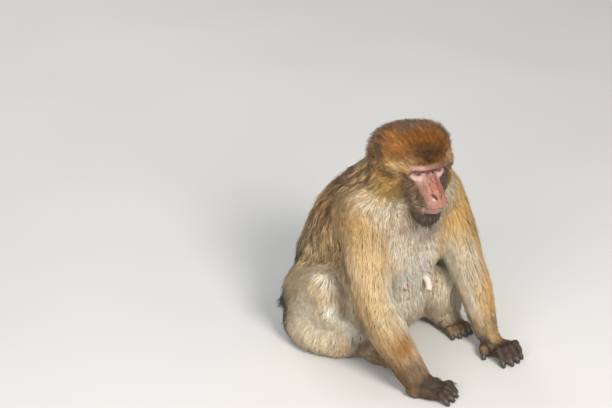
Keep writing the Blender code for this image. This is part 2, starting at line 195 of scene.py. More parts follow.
def apply_modifier(obj, kind, **settings):
    """Adds a modifier with these settings and applies it."""
    select_only(obj)
    modifier = obj.modifiers.new(kind.lower(), kind)
    for name, value in settings.items():
        setattr(modifier, name, value)
    bpy.ops.object.modifier_apply(modifier=modifier.name)


def link(name, mesh):
    obj = bpy.data.objects.new(name, mesh)
    bpy.context.scene.collection.objects.link(obj)
    return obj


def modelled_ball(fineness):
    """The points and faces of a unit ball."""
    deselect()
    bpy.ops.mesh.primitive_ico_sphere_add(subdivisions=fineness, radius=1.0, location=(0, 0, 0))
    model = bpy.context.object.data
    bpy.data.objects.remove(bpy.context.object)
    points = np.array([tuple(v.co) for v in model.vertices])
    return points, np.array([tuple(p.vertices) for p in model.polygons])


SMALL_BALL, LARGE_BALL = modelled_ball(3), modelled_ball(4)
print("balls:", len(SMALL_BALL[0]), "and", len(LARGE_BALL[0]), "points")

# %% [markdown]
# The balls are only raw clay, so they are gathered in one heap of points and faces rather than as hundreds
# of objects. A ball may be stretched along any direction, and a limb is a row of balls close together.

# %% Gather balls in a heap
class Heap:
    """Balls of clay, waiting to be drawn into a surface."""

    def __init__(self):
        self.points = []
        self.faces = []
        self.count = 0
        self.place = np.eye(4)

    def ball(self, centre, radii, along=(0, 0, 1)):
        """One ball. Its third radius lies along the given direction."""
        turned = np.array(Vector(along).to_track_quat("Z", "Y").to_matrix())
        model, faces = LARGE_BALL if max(radii) > 0.009 else SMALL_BALL
        points = (model * np.array(radii)) @ turned.T + np.array(centre)
        self.points.append(points @ self.place[:3, :3].T + self.place[:3, 3])
        self.faces.append(faces + self.count)
        self.count += len(model)

    def pair(self, centre, radii, along=(0, 0, 1)):
        """The same ball on both sides of the middle plane."""
        for side in SIDES:
            self.ball((side * centre[0], *centre[1:]), radii, (side * along[0], along[1], along[2]))

    def limb(self, joints, radii):
        """A row of balls through the joints, on a smooth path, each a little overlapping the last."""
        knots = [Vector(j) for j in joints]
        knots = [knots[0] * 2 - knots[1], *knots, knots[-1] * 2 - knots[-2]]
        for k in range(1, len(knots) - 2):
            before, start, end, after = knots[k - 1 : k + 3]
            slim = min(radii[k - 1], radii[k])
            count = max(2, math.ceil((end - start).length / (0.35 * slim)))
            for n in range(count + 1):
                t = n / count
                bend = (after - start) * 0.5 * (t**3 - t**2) + (end - before) * 0.5 * (t**3 - 2 * t**2 + t)
                point = start * (2 * t**3 - 3 * t**2 + 1) + end * (3 * t**2 - 2 * t**3) + bend
                self.ball(point, (radii[k - 1] * (1 - t) + radii[k] * t,) * 3)

    def limbs(self, joints, radii):
        """The same row of balls on both sides of the middle plane."""
        for side in SIDES:
            self.limb([(side * x, y, z) for x, y, z in joints], radii)

    def mesh(self, name):
        made = bpy.data.meshes.new(name)
        made.from_pydata(np.concatenate(self.points), [], np.concatenate(self.faces).tolist())
        return made


print("heap ready")

# %% [markdown]
# The flesh is the construction solids copied, merged, and swollen by a hair's breadth so that the thin cuts
# between them close. A coarse remesh makes them one body. Each point is then drawn inwards by the depth of
# the coat there: most on the back and crown, little on the wrists, a few millimetres where the small balls
# of clay are to give the form instead.

# %% Shrink the solids by the depth of the coat
COAT_DEPTH = {
    "head": 0.0085,
    "trunk": 0.0115,
    "tail": 0.0050,
    "upper_arm": 0.0090,
    "forearm": 0.0060,
    "hand": 0.0026,
    "thigh": 0.0110,
    "shank": 0.0075,
    "foot": 0.0026,
}


def kind_of(part):
    return part.removesuffix("_left").removesuffix("_right")


def share_of(shares, *names):
    """How much of each point belongs to the named parts. A name without its side means both sides."""
    return shares @ np.array([float(part in names or kind_of(part) in names) for part in PARTS])


def read_points(mesh, what="co"):
    """The mesh's points, or their normals, as an array."""
    source = mesh.vertices if what == "co" else mesh.vertex_normals
    flat = np.empty(len(mesh.vertices) * 3, np.float32)
    source.foreach_get("co" if what == "co" else "vector", flat)
    return flat.reshape(-1, 3).astype(float)


def write_points(mesh, points):
    mesh.vertices.foreach_set("co", points.astype(np.float32).ravel())
    mesh.update()


def bare_face(points):
    """1 on the bare skin of the face, 0 in the hair round it."""
    p = in_head(points)
    heights = [-0.070, -0.058, -0.040, -0.022, -0.012, -0.002, 0.006, 0.014, 0.024, 0.032]
    widths = [0.004, 0.018, 0.0215, 0.0205, 0.0230, 0.0290, 0.0345, 0.0370, 0.035, 0.029]
    half_width = np.interp(p[:, 2], heights, widths)
    across = 1 - step(-0.0035, 0.0045, np.abs(p[:, 0]) - half_width)
    height = step(-0.0640, -0.0590, p[:, 2]) * (1 - step(0.0235, 0.0300, p[:, 2]))
    front = 1 - step(-0.046, -0.036, p[:, 1])
    return across * height * front


def coat_depth(points, shares):
    """How far the skin lies under the tips of the coat."""
    depth = shares @ np.array([COAT_DEPTH[kind_of(part)] for part in PARTS])
    p = in_head(points)
    low_on_limb = step(0.10, 0.04, points[:, 2])
    depth = depth - share_of(shares, "forearm") * low_on_limb * 0.0025
    near_face = np.maximum(bare_face(points), bump(p, (0, -0.095, -0.03), (0.030, 0.045, 0.034)))
    head = shares[:, PART_AT["head"]]
    depth = depth + head * bump(p, (0, 0.0, -0.07), (0.06, 0.08, 0.03)) * 0.004
    return depth * (1 - head * np.clip(near_face, 0, 1) * 0.70)


copies = []
for name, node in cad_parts.items():
    mesh = node.data.copy()
    if name.startswith("ear"):  # sunk until it only fills the hollow behind the real ear
        side = -1 if name.endswith("right") else 1
        mesh.transform(Matrix.Translation(HEAD.to_3x3() @ Vector((-side * 0.0045, 0, 0))))
    work = bmesh.new()
    work.from_mesh(mesh)
    bmesh.ops.remove_doubles(work, verts=work.verts, dist=1e-6)
    work.normal_update()
    for vertex in work.verts:
        vertex.co += vertex.normal * 0.0006
    work.to_mesh(mesh)
    work.free()
    copies.append(link("flesh_" + name, mesh))
select_only(*copies)
bpy.ops.object.join()
flesh = bpy.context.object
apply_modifier(flesh, "REMESH", mode="VOXEL", voxel_size=0.0035)
apply_modifier(flesh, "SMOOTH", factor=0.5, iterations=4)
outer_tree = BVHTree.FromObject(flesh, bpy.context.evaluated_depsgraph_get())
for pull in range(3):
    places = read_points(flesh.data)
    depth = coat_depth(places, shares_of(places)) if pull == 0 else depth
    write_points(flesh.data, places - read_points(flesh.data, "normal") * depth[:, None] / 3)
    apply_modifier(flesh, "SMOOTH", factor=0.5, iterations=2)
print("flesh:", len(flesh.data.vertices), "points, deepest coat", round(depth.max(), 4))

# %% [markdown]
# The bare muzzle is a wedge of clay on the front of the skull. A ridge for the brow shades the eyes, a long
# flat nose runs down from between them, and two pads of lip close over the jaw. The lids begin as a ball of
# clay over each eyeball, a little larger than it, and they are opened after the remesh.

# %% Heap the clay of the face and ears
clay = Heap()
clay.place = np.array(HEAD)
brow = [(0.018, -0.0665, 0.0222), (0.038, -0.0535, 0.0180)]
far_brow = [(-x, y, z) for x, y, z in reversed(brow)]
clay.limb([*far_brow, (0, -0.0665, 0.0215), *brow], (0.0075, 0.0088, 0.0080, 0.0088, 0.0075))
clay.pair((0.0180, -0.0500, 0.0290), (0.0230, 0.0180, 0.0125))
clay.pair((0.0390, -0.0360, 0.0180), (0.0120, 0.0200, 0.0150))
clay.pair((0.0290, -0.0470, -0.0160), (0.0175, 0.0180, 0.0280), (-0.25, 0, 1))
clay.pair((0.0220, -0.0500, -0.0300), (0.0170, 0.0240, 0.0220))
clay.ball((0, -0.047, -0.020), (0.0325, 0.0290, 0.0290))
clay.limb([(0, -0.058, -0.018), (0, -0.081, -0.0285), (0, -0.0955, -0.0345)], (0.0262, 0.0238, 0.0200))
clay.limb([(0, -0.0625, 0.0150), (0, -0.0820, -0.0020), (0, -0.0985, -0.0165)], (0.0076, 0.0086, 0.0084))
clay.limbs([(0.0060, -0.0700, 0.0000), (0.0080, -0.0860, -0.0150), (0.0090, -0.0940, -0.0220)],
           (0.0085, 0.0095, 0.0090))
clay.pair((0.0092, -0.0985, -0.0320), (0.0125, 0.0125, 0.0105))
clay.limbs([(0.0016, -0.1045, -0.0170), (0.0066, -0.1022, -0.0190), (0.0092, -0.0970, -0.0220)],
           (0.0038, 0.0042, 0.0038))
clay.ball((0, -0.1035, -0.0240), (0.0034, 0.0040, 0.0070))
clay.ball((0, -0.0925, -0.0505), (0.0175, 0.0160, 0.0095))
clay.ball((0, -0.067, -0.051), (0.0300, 0.0350, 0.0185))
for side in SIDES:
    clay.ball((side * EYE.x, EYE.y, EYE.z), (0.0113,) * 3)
    clay.ball((side * 0.0100, -0.0625, 0.0080), (0.0070, 0.0070, 0.0080))
    clay.ball((side * 0.0330, -0.0560, 0.0110), (0.0085, 0.0080, 0.0080))
    bag = [(0.0100, -0.0650, -0.0010), (0.0210, -0.0640, -0.0020), (0.0330, -0.0560, 0.0010)]
    clay.limb([(side * x, y, z) for x, y, z in bag], (0.0060, 0.0060, 0.0070))
    rim = []
    for place in range(10):
        angle = math.radians(-100 + 290 * place / 9)
        back, high = math.cos(angle), math.sin(angle)
        rim.append((side * (0.0655 + 0.0038 * back), 0.0105 + 0.0115 * back, 0.0020 + 0.0150 * high))
    clay.limb(rim, (0.0021,) * 10)
    clay.ball((side * 0.0635, 0.0120, 0.0020), (0.0026, 0.0110, 0.0145))
    clay.ball((side * 0.0640, 0.0010, -0.0020), (0.0042, 0.0040, 0.0060))
    clay.ball((side * 0.0630, 0.0050, -0.0120), (0.0040, 0.0055, 0.0040))
clay.place = np.eye(4)
print("clay for the face:", clay.count, "points")

# %% [markdown]
# A finger is two slim rows of balls that meet in a raised joint, with its tip resting on the floor. The
# bones of the palm are ridges that run from the wrist to each knuckle. A foot is the same with a longer sole
# and a big toe that stands off like a thumb. The two nipples hang from the chest.

# %% Heap the clay of the hands, feet and nipples
FINGER_REACH = {-1: 0.66, 1: 0.78}
FINGER_RISE = {-1: 0.0040, 1: 0.0135}
THUMB_REACH = {-1: 0.030, 1: 0.020}
ARCH = {-1: 0.0, 1: 0.007}  # how much higher the middle of the bunched foot stands
TOE_REACH = {-1: 1.0, 1: 0.70}
BIG_TOE = {-1: (0.019, 34, 0.041), 1: (0.015, 4, 0.034)}  # how far aside, at what angle, how long
TIPS = []  # where each nail goes: its place, its way, its width and its paw


def digit(base, fan, length, radius, rise, paw):
    """A finger or toe from its knuckle to its tip on the floor."""
    ahead = Vector((math.sin(fan), -math.cos(fan), 0))
    tip = base + ahead * length
    tip.z = radius * 0.90
    joint = base + ahead * length * 0.42 + Vector((0, 0, rise))
    last = joint.lerp(tip, 0.55) + Vector((0, 0, 0.0016 + rise * 0.15))
    joints = [base, base.lerp(joint, 0.5), joint, joint.lerp(last, 0.5), last, tip]
    sizes = (1.08, 0.93, 1.04, 0.90, 0.95, 0.80)
    clay.limb(joints, [radius * size for size in sizes])
    place = Matrix(clay.place.tolist())
    TIPS.append((place @ tip, place.to_3x3() @ (tip - last).normalized(), radius, paw))


for side, word in SIDES.items():
    wrist, ankle = WRIST[side], ANKLE[side]
    paw = Matrix.Translation((wrist.x, wrist.y, 0)) @ Matrix.Rotation(HAND_TURN[side], 4, "Z")
    clay.place = np.array(paw)
    palm = PALM[side]
    back_of_hand = [(0, 0.004, wrist.z), (0, -0.34 * palm, 0.023), (0, -0.70 * palm, 0.017)]
    clay.limb(back_of_hand, (0.0172, 0.0165, 0.0128))
    clay.ball((0, -0.60 * palm, 0.0115), (0.0240, 0.68 * palm, 0.0118))
    clay.ball((side * 0.012, -0.002, 0.0110), (0.0130, 0.0170, 0.0115))
    rise = FINGER_RISE[side]
    clay.ball((side * 0.004, 0.006 - palm, 0.011 + rise * 0.45), (0.0225, 0.0190, 0.0110))
    for place, length in enumerate((0.034, 0.041, 0.039, 0.031)):
        across = -side * (0.0195 - 0.0130 * place)
        knuckle = Vector((across, -palm, 0.0128 + rise * 0.25))
        clay.limb([(across * 0.45, -0.010, 0.0225), knuckle], (0.0058, 0.0068))
        fan = math.radians(-side * (9 - 6.5 * place))
        digit(knuckle, fan, length * FINGER_REACH[side], 0.0065, rise * 0.85, "hand_" + word)
    thumb = Vector((-side * 0.020, 0.033 - palm, 0.0115))
    digit(thumb, math.radians(-side * 38), THUMB_REACH[side], 0.0064, 0.0035, "hand_" + word)

    paw = Matrix.Translation((ankle.x, ankle.y, 0)) @ Matrix.Rotation(FOOT_TURN[side], 4, "Z")
    clay.place = np.array(paw)
    sole, arch = SOLE[side], ARCH[side]
    middle = [(0, -0.24 * sole, 0.0215 + arch), (0, -0.71 * sole, 0.0150 + arch * 0.5)]
    clay.limb([(0, 0.016, 0.0170), *middle], (0.0172, 0.0198, 0.0145))
    clay.ball((0, -0.69 * sole, 0.0115), (0.0242, 0.41 * sole, 0.0125))
    for place, length in enumerate((0.030, 0.034, 0.033, 0.029)):
        across = -side * (0.0170 - 0.0118 * place)
        knuckle = Vector((across, -sole, 0.0122))
        clay.limb([(across * 0.5, -0.48 * sole, 0.0240 + arch * 0.6), knuckle], (0.0060, 0.0068))
        fan = math.radians(-side * (7 - 6 * place))
        digit(knuckle, fan, length * TOE_REACH[side], 0.0063, 0.0035, "foot_" + word)
    aside, spread, length = BIG_TOE[side]
    big_toe = Vector((-side * aside, -0.44 * sole, 0.0118))
    digit(big_toe, math.radians(-side * spread), length, 0.0074, 0.0035, "foot_" + word)
clay.place = np.eye(4)

NIPPLES = {
    -1: [at(-0.026, -0.143, 0.163), at(-0.0255, -0.1555, 0.160), at(-0.0255, -0.1600, 0.1555)],
    1: [at(0.024, -0.148, 0.166), at(0.0245, -0.1660, 0.1600), at(0.0240, -0.1725, 0.1420)],
}
clay.limb(NIPPLES[-1], (0.0060, 0.0040, 0.0034))
clay.limb(NIPPLES[1], (0.0085, 0.0062, 0.0060))
print("clay in all:", clay.count, "points,", len(TIPS), "nails to come")

# %% [markdown]
# ## Draw the skin
# Flesh and clay are joined and remeshed finely enough for an eyelid, about a millimetre. That is far finer
# than the coat needs, so the body is then thinned by a decimate modifier that a vertex group holds off the
# face, the ears and the paws. Everything is flattened where it rests on the floor.

# %% Draw flesh and clay into one skin
small = link("small_masses", clay.mesh("small_masses"))
select_only(flesh, small)
bpy.ops.object.join()
skin = bpy.context.object
skin.name = skin.data.name = "skin"
apply_modifier(skin, "REMESH", mode="VOXEL", voxel_size=0.0013)
apply_modifier(skin, "SMOOTH", factor=0.5, iterations=3)
places = read_points(skin.data)
soft = skin.vertex_groups.new(name="soft")
front_of_face = bump(in_head(places), (0, -0.070, -0.012), (0.060, 0.050, 0.060)) > 0.25
fine_form = sum(bump(in_head(places), (side * 0.004, -0.1, -0.022), (0.010, 0.012, 0.010)) for side in SIDES)
fine_form += bump(in_head(places), (0, -0.1, -0.044), (0.030, 0.030, 0.010))
for level, weight in ((0, 1.0), (1, 0.3)):
    members = np.nonzero(front_of_face & ((fine_form > 0.35) == bool(level)))[0].tolist()
    soft.add(members, weight, "REPLACE")
apply_modifier(skin, "SMOOTH", factor=0.5, iterations=22, vertex_group="soft")
print("skin as drawn:", len(skin.data.vertices), "points")

places = read_points(skin.data)
shares = shares_of(places)
paws = share_of(shares, "hand", "foot")
head_points = in_head(places)
ears = sum(bump(head_points, (side * 0.067, 0.011, 0.002), (0.012, 0.017, 0.020)) for side in SIDES)
near_face = bump(head_points, (0, -0.075, -0.010), (0.050, 0.050, 0.055)) * 1.6
fine = np.clip(np.max([bare_face(places), near_face, ears * 1.5, paws * 0.75], axis=0), 0, 1)
fine = np.maximum(fine, sum(bump(places, NIPPLES[side][1], (0.014,) * 3) for side in SIDES))
group = skin.vertex_groups.new(name="coarse")
for level in range(5):
    members = np.nonzero(np.round(fine * 4) == level)[0].tolist()
    group.add(members, 1 - level / 4, "REPLACE")
apply_modifier(skin, "DECIMATE", ratio=0.165, vertex_group="coarse", vertex_group_factor=6.0)
print("skin thinned:", len(skin.data.vertices), "points,", len(skin.data.polygons), "faces")

# %% [markdown]
# The face is now cut finer still and worked in the head's own frame. Inside an almond round each pupil the
# skin sinks behind the eyeball, and the rim of the almond is held just off the ball, which makes the lids.
# Two slits that meet in a V are pressed in for the nostrils, and a groove that droops to the corners parts
# the lips. Soft creases mark the bags under the eyes, the brow and the sides of the muzzle.

# %% Cut the face finer
def pick_faces(obj, chosen):
    """Selects faces by a truth value for each, and nothing else."""
    mesh = obj.data
    mesh.vertices.foreach_set("select", np.zeros(len(mesh.vertices), bool))
    mesh.edges.foreach_set("select", np.zeros(len(mesh.edges), bool))
    mesh.polygons.foreach_set("select", chosen)


def face_middles(mesh):
    flat = np.empty(len(mesh.polygons) * 3, np.float32)
    mesh.polygons.foreach_get("center", flat)
    return flat.reshape(-1, 3).astype(float)


pick_faces(skin, bare_face(face_middles(skin.data)) > 0.3)
select_only(skin)
bpy.ops.object.mode_set(mode="EDIT")
bpy.ops.mesh.select_mode(type="FACE")
bpy.ops.mesh.subdivide(number_cuts=1, smoothness=0)
bpy.ops.mesh.quads_convert_to_tris()
bpy.ops.object.mode_set(mode="OBJECT")
face_group = skin.vertex_groups.new(name="face")
on_face = bare_face(read_points(skin.data))
face_group.add(np.nonzero(on_face > 0.5)[0].tolist(), 1.0, "REPLACE")
apply_modifier(skin, "SMOOTH", factor=0.5, iterations=3, vertex_group="face")
print("skin with a fine face:", len(skin.data.polygons), "faces")


# %% Open the lids, the nostrils and the mouth
def lid_place(p, side):
    """How far a point is from the eyeball's centre, and how far it is out of the almond: 1 at its rim."""
    off = p - np.array([side * EYE.x, EYE.y, EYE.z])
    reach = np.linalg.norm(off, axis=1)
    round_it = np.degrees(np.arctan2(side * off[:, 0], -off[:, 1])) - 3
    up = np.degrees(np.arcsin(np.clip(off[:, 2] / reach, -1, 1))) + 1 - round_it * 0.05
    open_by = np.where(up > 0, 16.0, 20.5) * np.sqrt(np.clip(1 - (round_it / 48) ** 2, 0.01, 1))
    almond = np.where(np.abs(round_it) < 48, np.abs(up) / open_by, 9.0)
    almond = np.where((off[:, 1] < 0.002) & (reach < 0.0140), almond, 9.0)
    return off, reach, round_it, up, almond


def to_line(p, start, end):
    """The distance of points from a straight line between two points."""
    return outside(p, (np.array([start, end]), 0.0))


def lip_line(p):
    """How far a point is above the line between the lips."""
    return p[:, 2] + 0.0418 + 8.0 * p[:, 0] ** 2


HALF_BROW = [(0.0050, -0.074, 0.0150), (0.0150, -0.072, 0.0172), (0.0250, -0.070, 0.0165),
             (0.0330, -0.064, 0.0115), (0.0385, -0.057, 0.0030)]
BROW = [(-x, y, z) for x, y, z in reversed(HALF_BROW)] + HALF_BROW


def under_brow(p):
    """How far points are from the crease under the brow."""
    return np.min([to_line(p, start, end) for start, end in zip(BROW, BROW[1:])], axis=0)


def nostril(p, side):
    """How far points are from the slit of a nostril, which runs down and in towards its fellow."""
    flat = p * (1, 0.3, 1)
    if side > 0:  # the one pressed shorter
        return to_line(flat, (0.0042, -0.0325, -0.0225), (0.0068, -0.0317, -0.0182)) + 0.0010
    return to_line(flat, (-0.0043, -0.0328, -0.0226), (-0.0090, -0.0308, -0.0178))


def opened_face(points):
    """The points of the skin, with the face's openings and folds pressed in."""
    p = in_head(points)
    for side in SIDES:
        off, reach, round_it, up, almond = lid_place(p, side)
        sunk = 1 - step(0.86, 1.10, almond)
        near = (reach < 0.0150) & (off[:, 1] < 0.002) & (np.abs(round_it) < 75) & (np.abs(up) < 50)
        held = np.where(near, np.maximum(reach, 0.0100), reach)
        held = held + near * hill(almond - 1.25, 0.18) * 0.0004
        crease = np.exp(-((np.abs(up) - 29) / 4) ** 2) * (np.abs(round_it) < 45) * near
        held = held - crease * 0.0007
        target = held * (1 - sunk) + np.minimum(reach, 0.0080) * sunk
        p = p + off * ((target - reach) / reach)[:, None]
        slit = nostril(p, side)
        deep = hill(slit, 0.0017) * 0.0070
        p = p + deep[:, None] * np.array([0, 0.85, 0.5])
        wing = hill(slit - 0.0042, 0.0015) * (np.abs(p[:, 0]) > 0.0035)
        p = p - (wing * 0.0006)[:, None] * np.array([0, 1, 0])
    p = p + (hill(under_brow(p), 0.0022) * 0.0030)[:, None] * np.array([0, 1, 0])
    bulge = hill(p[:, 2] - 0.0212, 0.0034) * bump(p, (0, -0.07, 0.02), (0.036, 0.02, 0.01))
    p = p - (bulge * 0.0024)[:, None] * np.array([0, 1, 0.35])
    front = 1 - step(-0.074, -0.064, p[:, 1])
    above = lip_line(p)
    groove = hill(above, 0.0011) * 0.0024
    lips = hill(above - 0.0032, 0.0018) + hill(above + 0.0032, 0.0018)
    outwards = p - np.array([0, -0.060, -0.040])
    outwards /= np.linalg.norm(outwards, axis=1, keepdims=True)
    p = p + outwards * (front * (lips * 0.0007 - groove))[:, None]
    middle = hill(p[:, 0], 0.0012) * step(-0.041, -0.037, p[:, 2]) * (1 - step(-0.031, -0.028, p[:, 2]))
    p = p + (middle * front * 0.0007)[:, None] * np.array([0, 1, 0])
    there = np.array(HEAD)
    return p @ there[:3, :3].T + there[:3, 3]


places = read_points(skin.data)
near_face = (bump(in_head(places), (0, -0.080, -0.015), (0.060, 0.060, 0.070)) > 0.15)[:, None]
places = np.where(near_face, opened_face(places), places)
places[:, 2] = np.maximum(places[:, 2], 0.0002)
write_points(skin.data, places)
skin.data.shade_smooth()
skin.data.calc_loop_triangles()
print("face opened; skin has", len(skin.data.loop_triangles), "triangles")

# %% [markdown]
# ## Markings
# Skin and coat wear the same markings, so one function gives the colour at any place. Each part has its own
# base colour, and soft patches are laid over it in the order that a painter would: the orange crown with its
# dark brow, the pale temples and ruff, the dark beard, the ochre back with its dark nape and flank, the pale
# chest, the golden outer arms and the dark hands. Some patches are painted shade in folds, creases and gaps
# and on sides turned from the light, and a few are painted highlights. Colours are linear light.

# %% Name the colours of the animal
TINT = {
    "head": (0.36, 0.175, 0.055),
    "trunk": (0.340, 0.230, 0.118),
    "tail": (0.20, 0.14, 0.08),
    "upper_arm": (0.52, 0.370, 0.205),
    "forearm": (0.50, 0.380, 0.235),
    "hand": (0.088, 0.064, 0.048),
    "thigh": (0.54, 0.425, 0.275),
    "shank": (0.56, 0.455, 0.310),
    "foot": (0.195, 0.125, 0.070),
}
ORANGE = (0.250, 0.096, 0.019)
RUST = (0.150, 0.047, 0.005)
SLATE = (0.115, 0.088, 0.068)
UMBER = (0.062, 0.040, 0.026)
GOLD = (0.42, 0.255, 0.090)
OCHRE = (0.27, 0.155, 0.068)
CHALK = (0.64, 0.565, 0.445)
ASH = (0.46, 0.400, 0.310)
MAUVE = (0.35, 0.245, 0.190)
AMBER = (0.27, 0.135, 0.043)
SALMON = (0.285, 0.112, 0.073)
ROSE = (0.29, 0.140, 0.115)
LID = (0.41, 0.270, 0.255)
SHADE = (0.050, 0.026, 0.022)


def laid_over(colours, new, amount):
    """The colours with a new one laid over them by an amount for each point."""
    return colours + (np.array(new) - colours) * np.clip(amount, 0, 1)[:, None]


class Wash:
    """The colours of a set of points, with others laid over them like thin paint."""

    def __init__(self, colours, points):
        self.colours, self.points = colours, points

    def over(self, tint, amount):
        self.colours = laid_over(self.colours, tint, amount)

    def spot(self, tint, middle, radii, amount=1.0):
        """A tint laid over in a soft ellipsoid."""
        self.over(tint, bump(self.points, middle, radii) * amount)


def turned_up(normals, way):
    """How squarely the surface faces a direction, from -1 to 1."""
    way = np.array(way, float)
    return normals @ (way / np.linalg.norm(way))


def clouds(points, size, seed=0):
    """A soft random figure from 0 to 1 for each point, with patches of about that size in metres."""
    scale = 1.0 / size
    shift = Vector((13.7 * seed, -7.1 * seed, 3.3 * seed))
    return np.array([noise.noise(Vector(p) * scale + shift) for p in points.tolist()]) * 0.75 + 0.5


def streaks(points, ways, size, seed):
    """A random figure drawn out along the given ways, from about -1 to 1."""
    reaches = (-0.009, -0.0045, 0.0, 0.0045, 0.009)
    return sum(clouds(points + ways * reach, size, seed) - 0.5 for reach in reaches) * 0.8


# %% Paint the head
def head_colours(p, colours, amount):
    """The head's markings, by place in the head's frame."""
    side = np.abs(p[:, 0])
    x, y, z = p.T
    head = Wash(np.tile(np.array(TINT["head"]), (len(p), 1)), p)
    head.over((0.20, 0.130, 0.065), step(-0.010, -0.030, z))
    head.over(ORANGE, step(0.010, 0.034, z) * (1 - step(0.02, 0.06, y)))
    head.spot((0.36, 0.155, 0.040), (-0.045, -0.030, 0.048), (0.030, 0.030, 0.022), 0.8)
    head.spot(RUST, (-0.006, -0.050, 0.058), (0.030, 0.032, 0.024), 0.75)
    head.spot((0.052, 0.021, 0.005), (0.003, -0.067, 0.037), (0.042, 0.024, 0.017), 1.25)
    head.spot((0.20, 0.115, 0.045), (-0.032, -0.062, 0.031), (0.018, 0.018, 0.007), 0.8)
    head.spot((0.070, 0.048, 0.034), (0.050, -0.050, 0.004), (0.013, 0.022, 0.007), 1.1)
    rim = step(0.058, 0.072, z) * step(-0.040, -0.010, y) * 0.85
    rim = rim + step(0.020, 0.050, y) * step(-0.03, 0.02, z) * 0.85
    rim = rim + step(0.032, 0.052, x) * step(0.016, 0.036, z) * 0.75
    head.over(SLATE, rim)
    head.over(SLATE, step(0.048, 0.062, side) * step(-0.005, 0.02, z) * step(-0.040, -0.010, y) * 0.65)
    ruff = step(0.000, -0.030, z) * step(-0.060, -0.034, y + side * 0.20)
    head.over((0.47, 0.355, 0.210), ruff * 0.95)
    head.over((0.54, 0.460, 0.340), ruff * step(-0.035, -0.055, z) * step(-0.022, -0.034, y) * 0.9)
    head.spot((0.40, 0.215, 0.070), (0, 0.0, -0.012), (0.12, 0.06, 0.018), ruff * 0.9)
    head.over((0.035, 0.022, 0.015), step(0.008, 0.032, y) * step(0.030, -0.005, z) * 0.95)
    # Painted shade: a dark spot behind and below the near ear, under the pale temple hair.
    head.spot((0.033, 0.021, 0.015), (-0.071, 0.030, -0.012), (0.022, 0.028, 0.022), 1.15)
    for s in SIDES:
        head.spot((0.40, 0.275, 0.135), (s * 0.050, -0.050, 0.017), (0.017, 0.022, 0.011), 0.9)
        head.spot((0.36, 0.220, 0.065), (s * 0.058, -0.044, -0.020), (0.024, 0.034, 0.024), 1.2)
        head.spot((0.065, 0.036, 0.020), (s * 0.034, -0.063, -0.014), (0.0150, 0.022, 0.019), 1.35)
        head.spot((0.095, 0.060, 0.038), (s * 0.030, -0.068, -0.026), (0.012, 0.026, 0.022), 0.9)
        head.spot((0.150, 0.110, 0.072), (s * 0.027, -0.080, -0.050), (0.013, 0.030, 0.020), 0.9)
        # Painted shade: a dark line under the pale temple hair, from the temple to the outer corner of each
        # eye.
        crease = to_line(p, (s * 0.076, -0.028, 0.010), (s * 0.037, -0.061, 0.001))
        head.over(UMBER, hill(crease, 0.0062) * 0.95)
    far = to_line(p, (0.040, -0.058, 0.012), (0.037, -0.080, -0.040))
    head.over((0.060, 0.040, 0.027), hill(far, 0.010) * 0.9)
    head.spot((0.25, 0.21, 0.15), (0.072, -0.026, -0.072), (0.020, 0.030, 0.026), 0.9)
    head.spot((0.075, 0.055, 0.042), (0.062, -0.035, -0.098), (0.026, 0.035, 0.020), 1.2)
    head.over((0.42, 0.350, 0.255), step(-0.050, -0.066, z) * step(-0.064, -0.044, y) * 0.85)
    beard = bump(p, (0.004, -0.086, -0.078), (0.042, 0.032, 0.018))
    beard = beard + bump(p, (0, -0.094, -0.066), (0.026, 0.02, 0.009))
    head.over((0.080, 0.056, 0.044), beard * 1.4)
    return colours + (head.colours - colours) * amount[:, None]
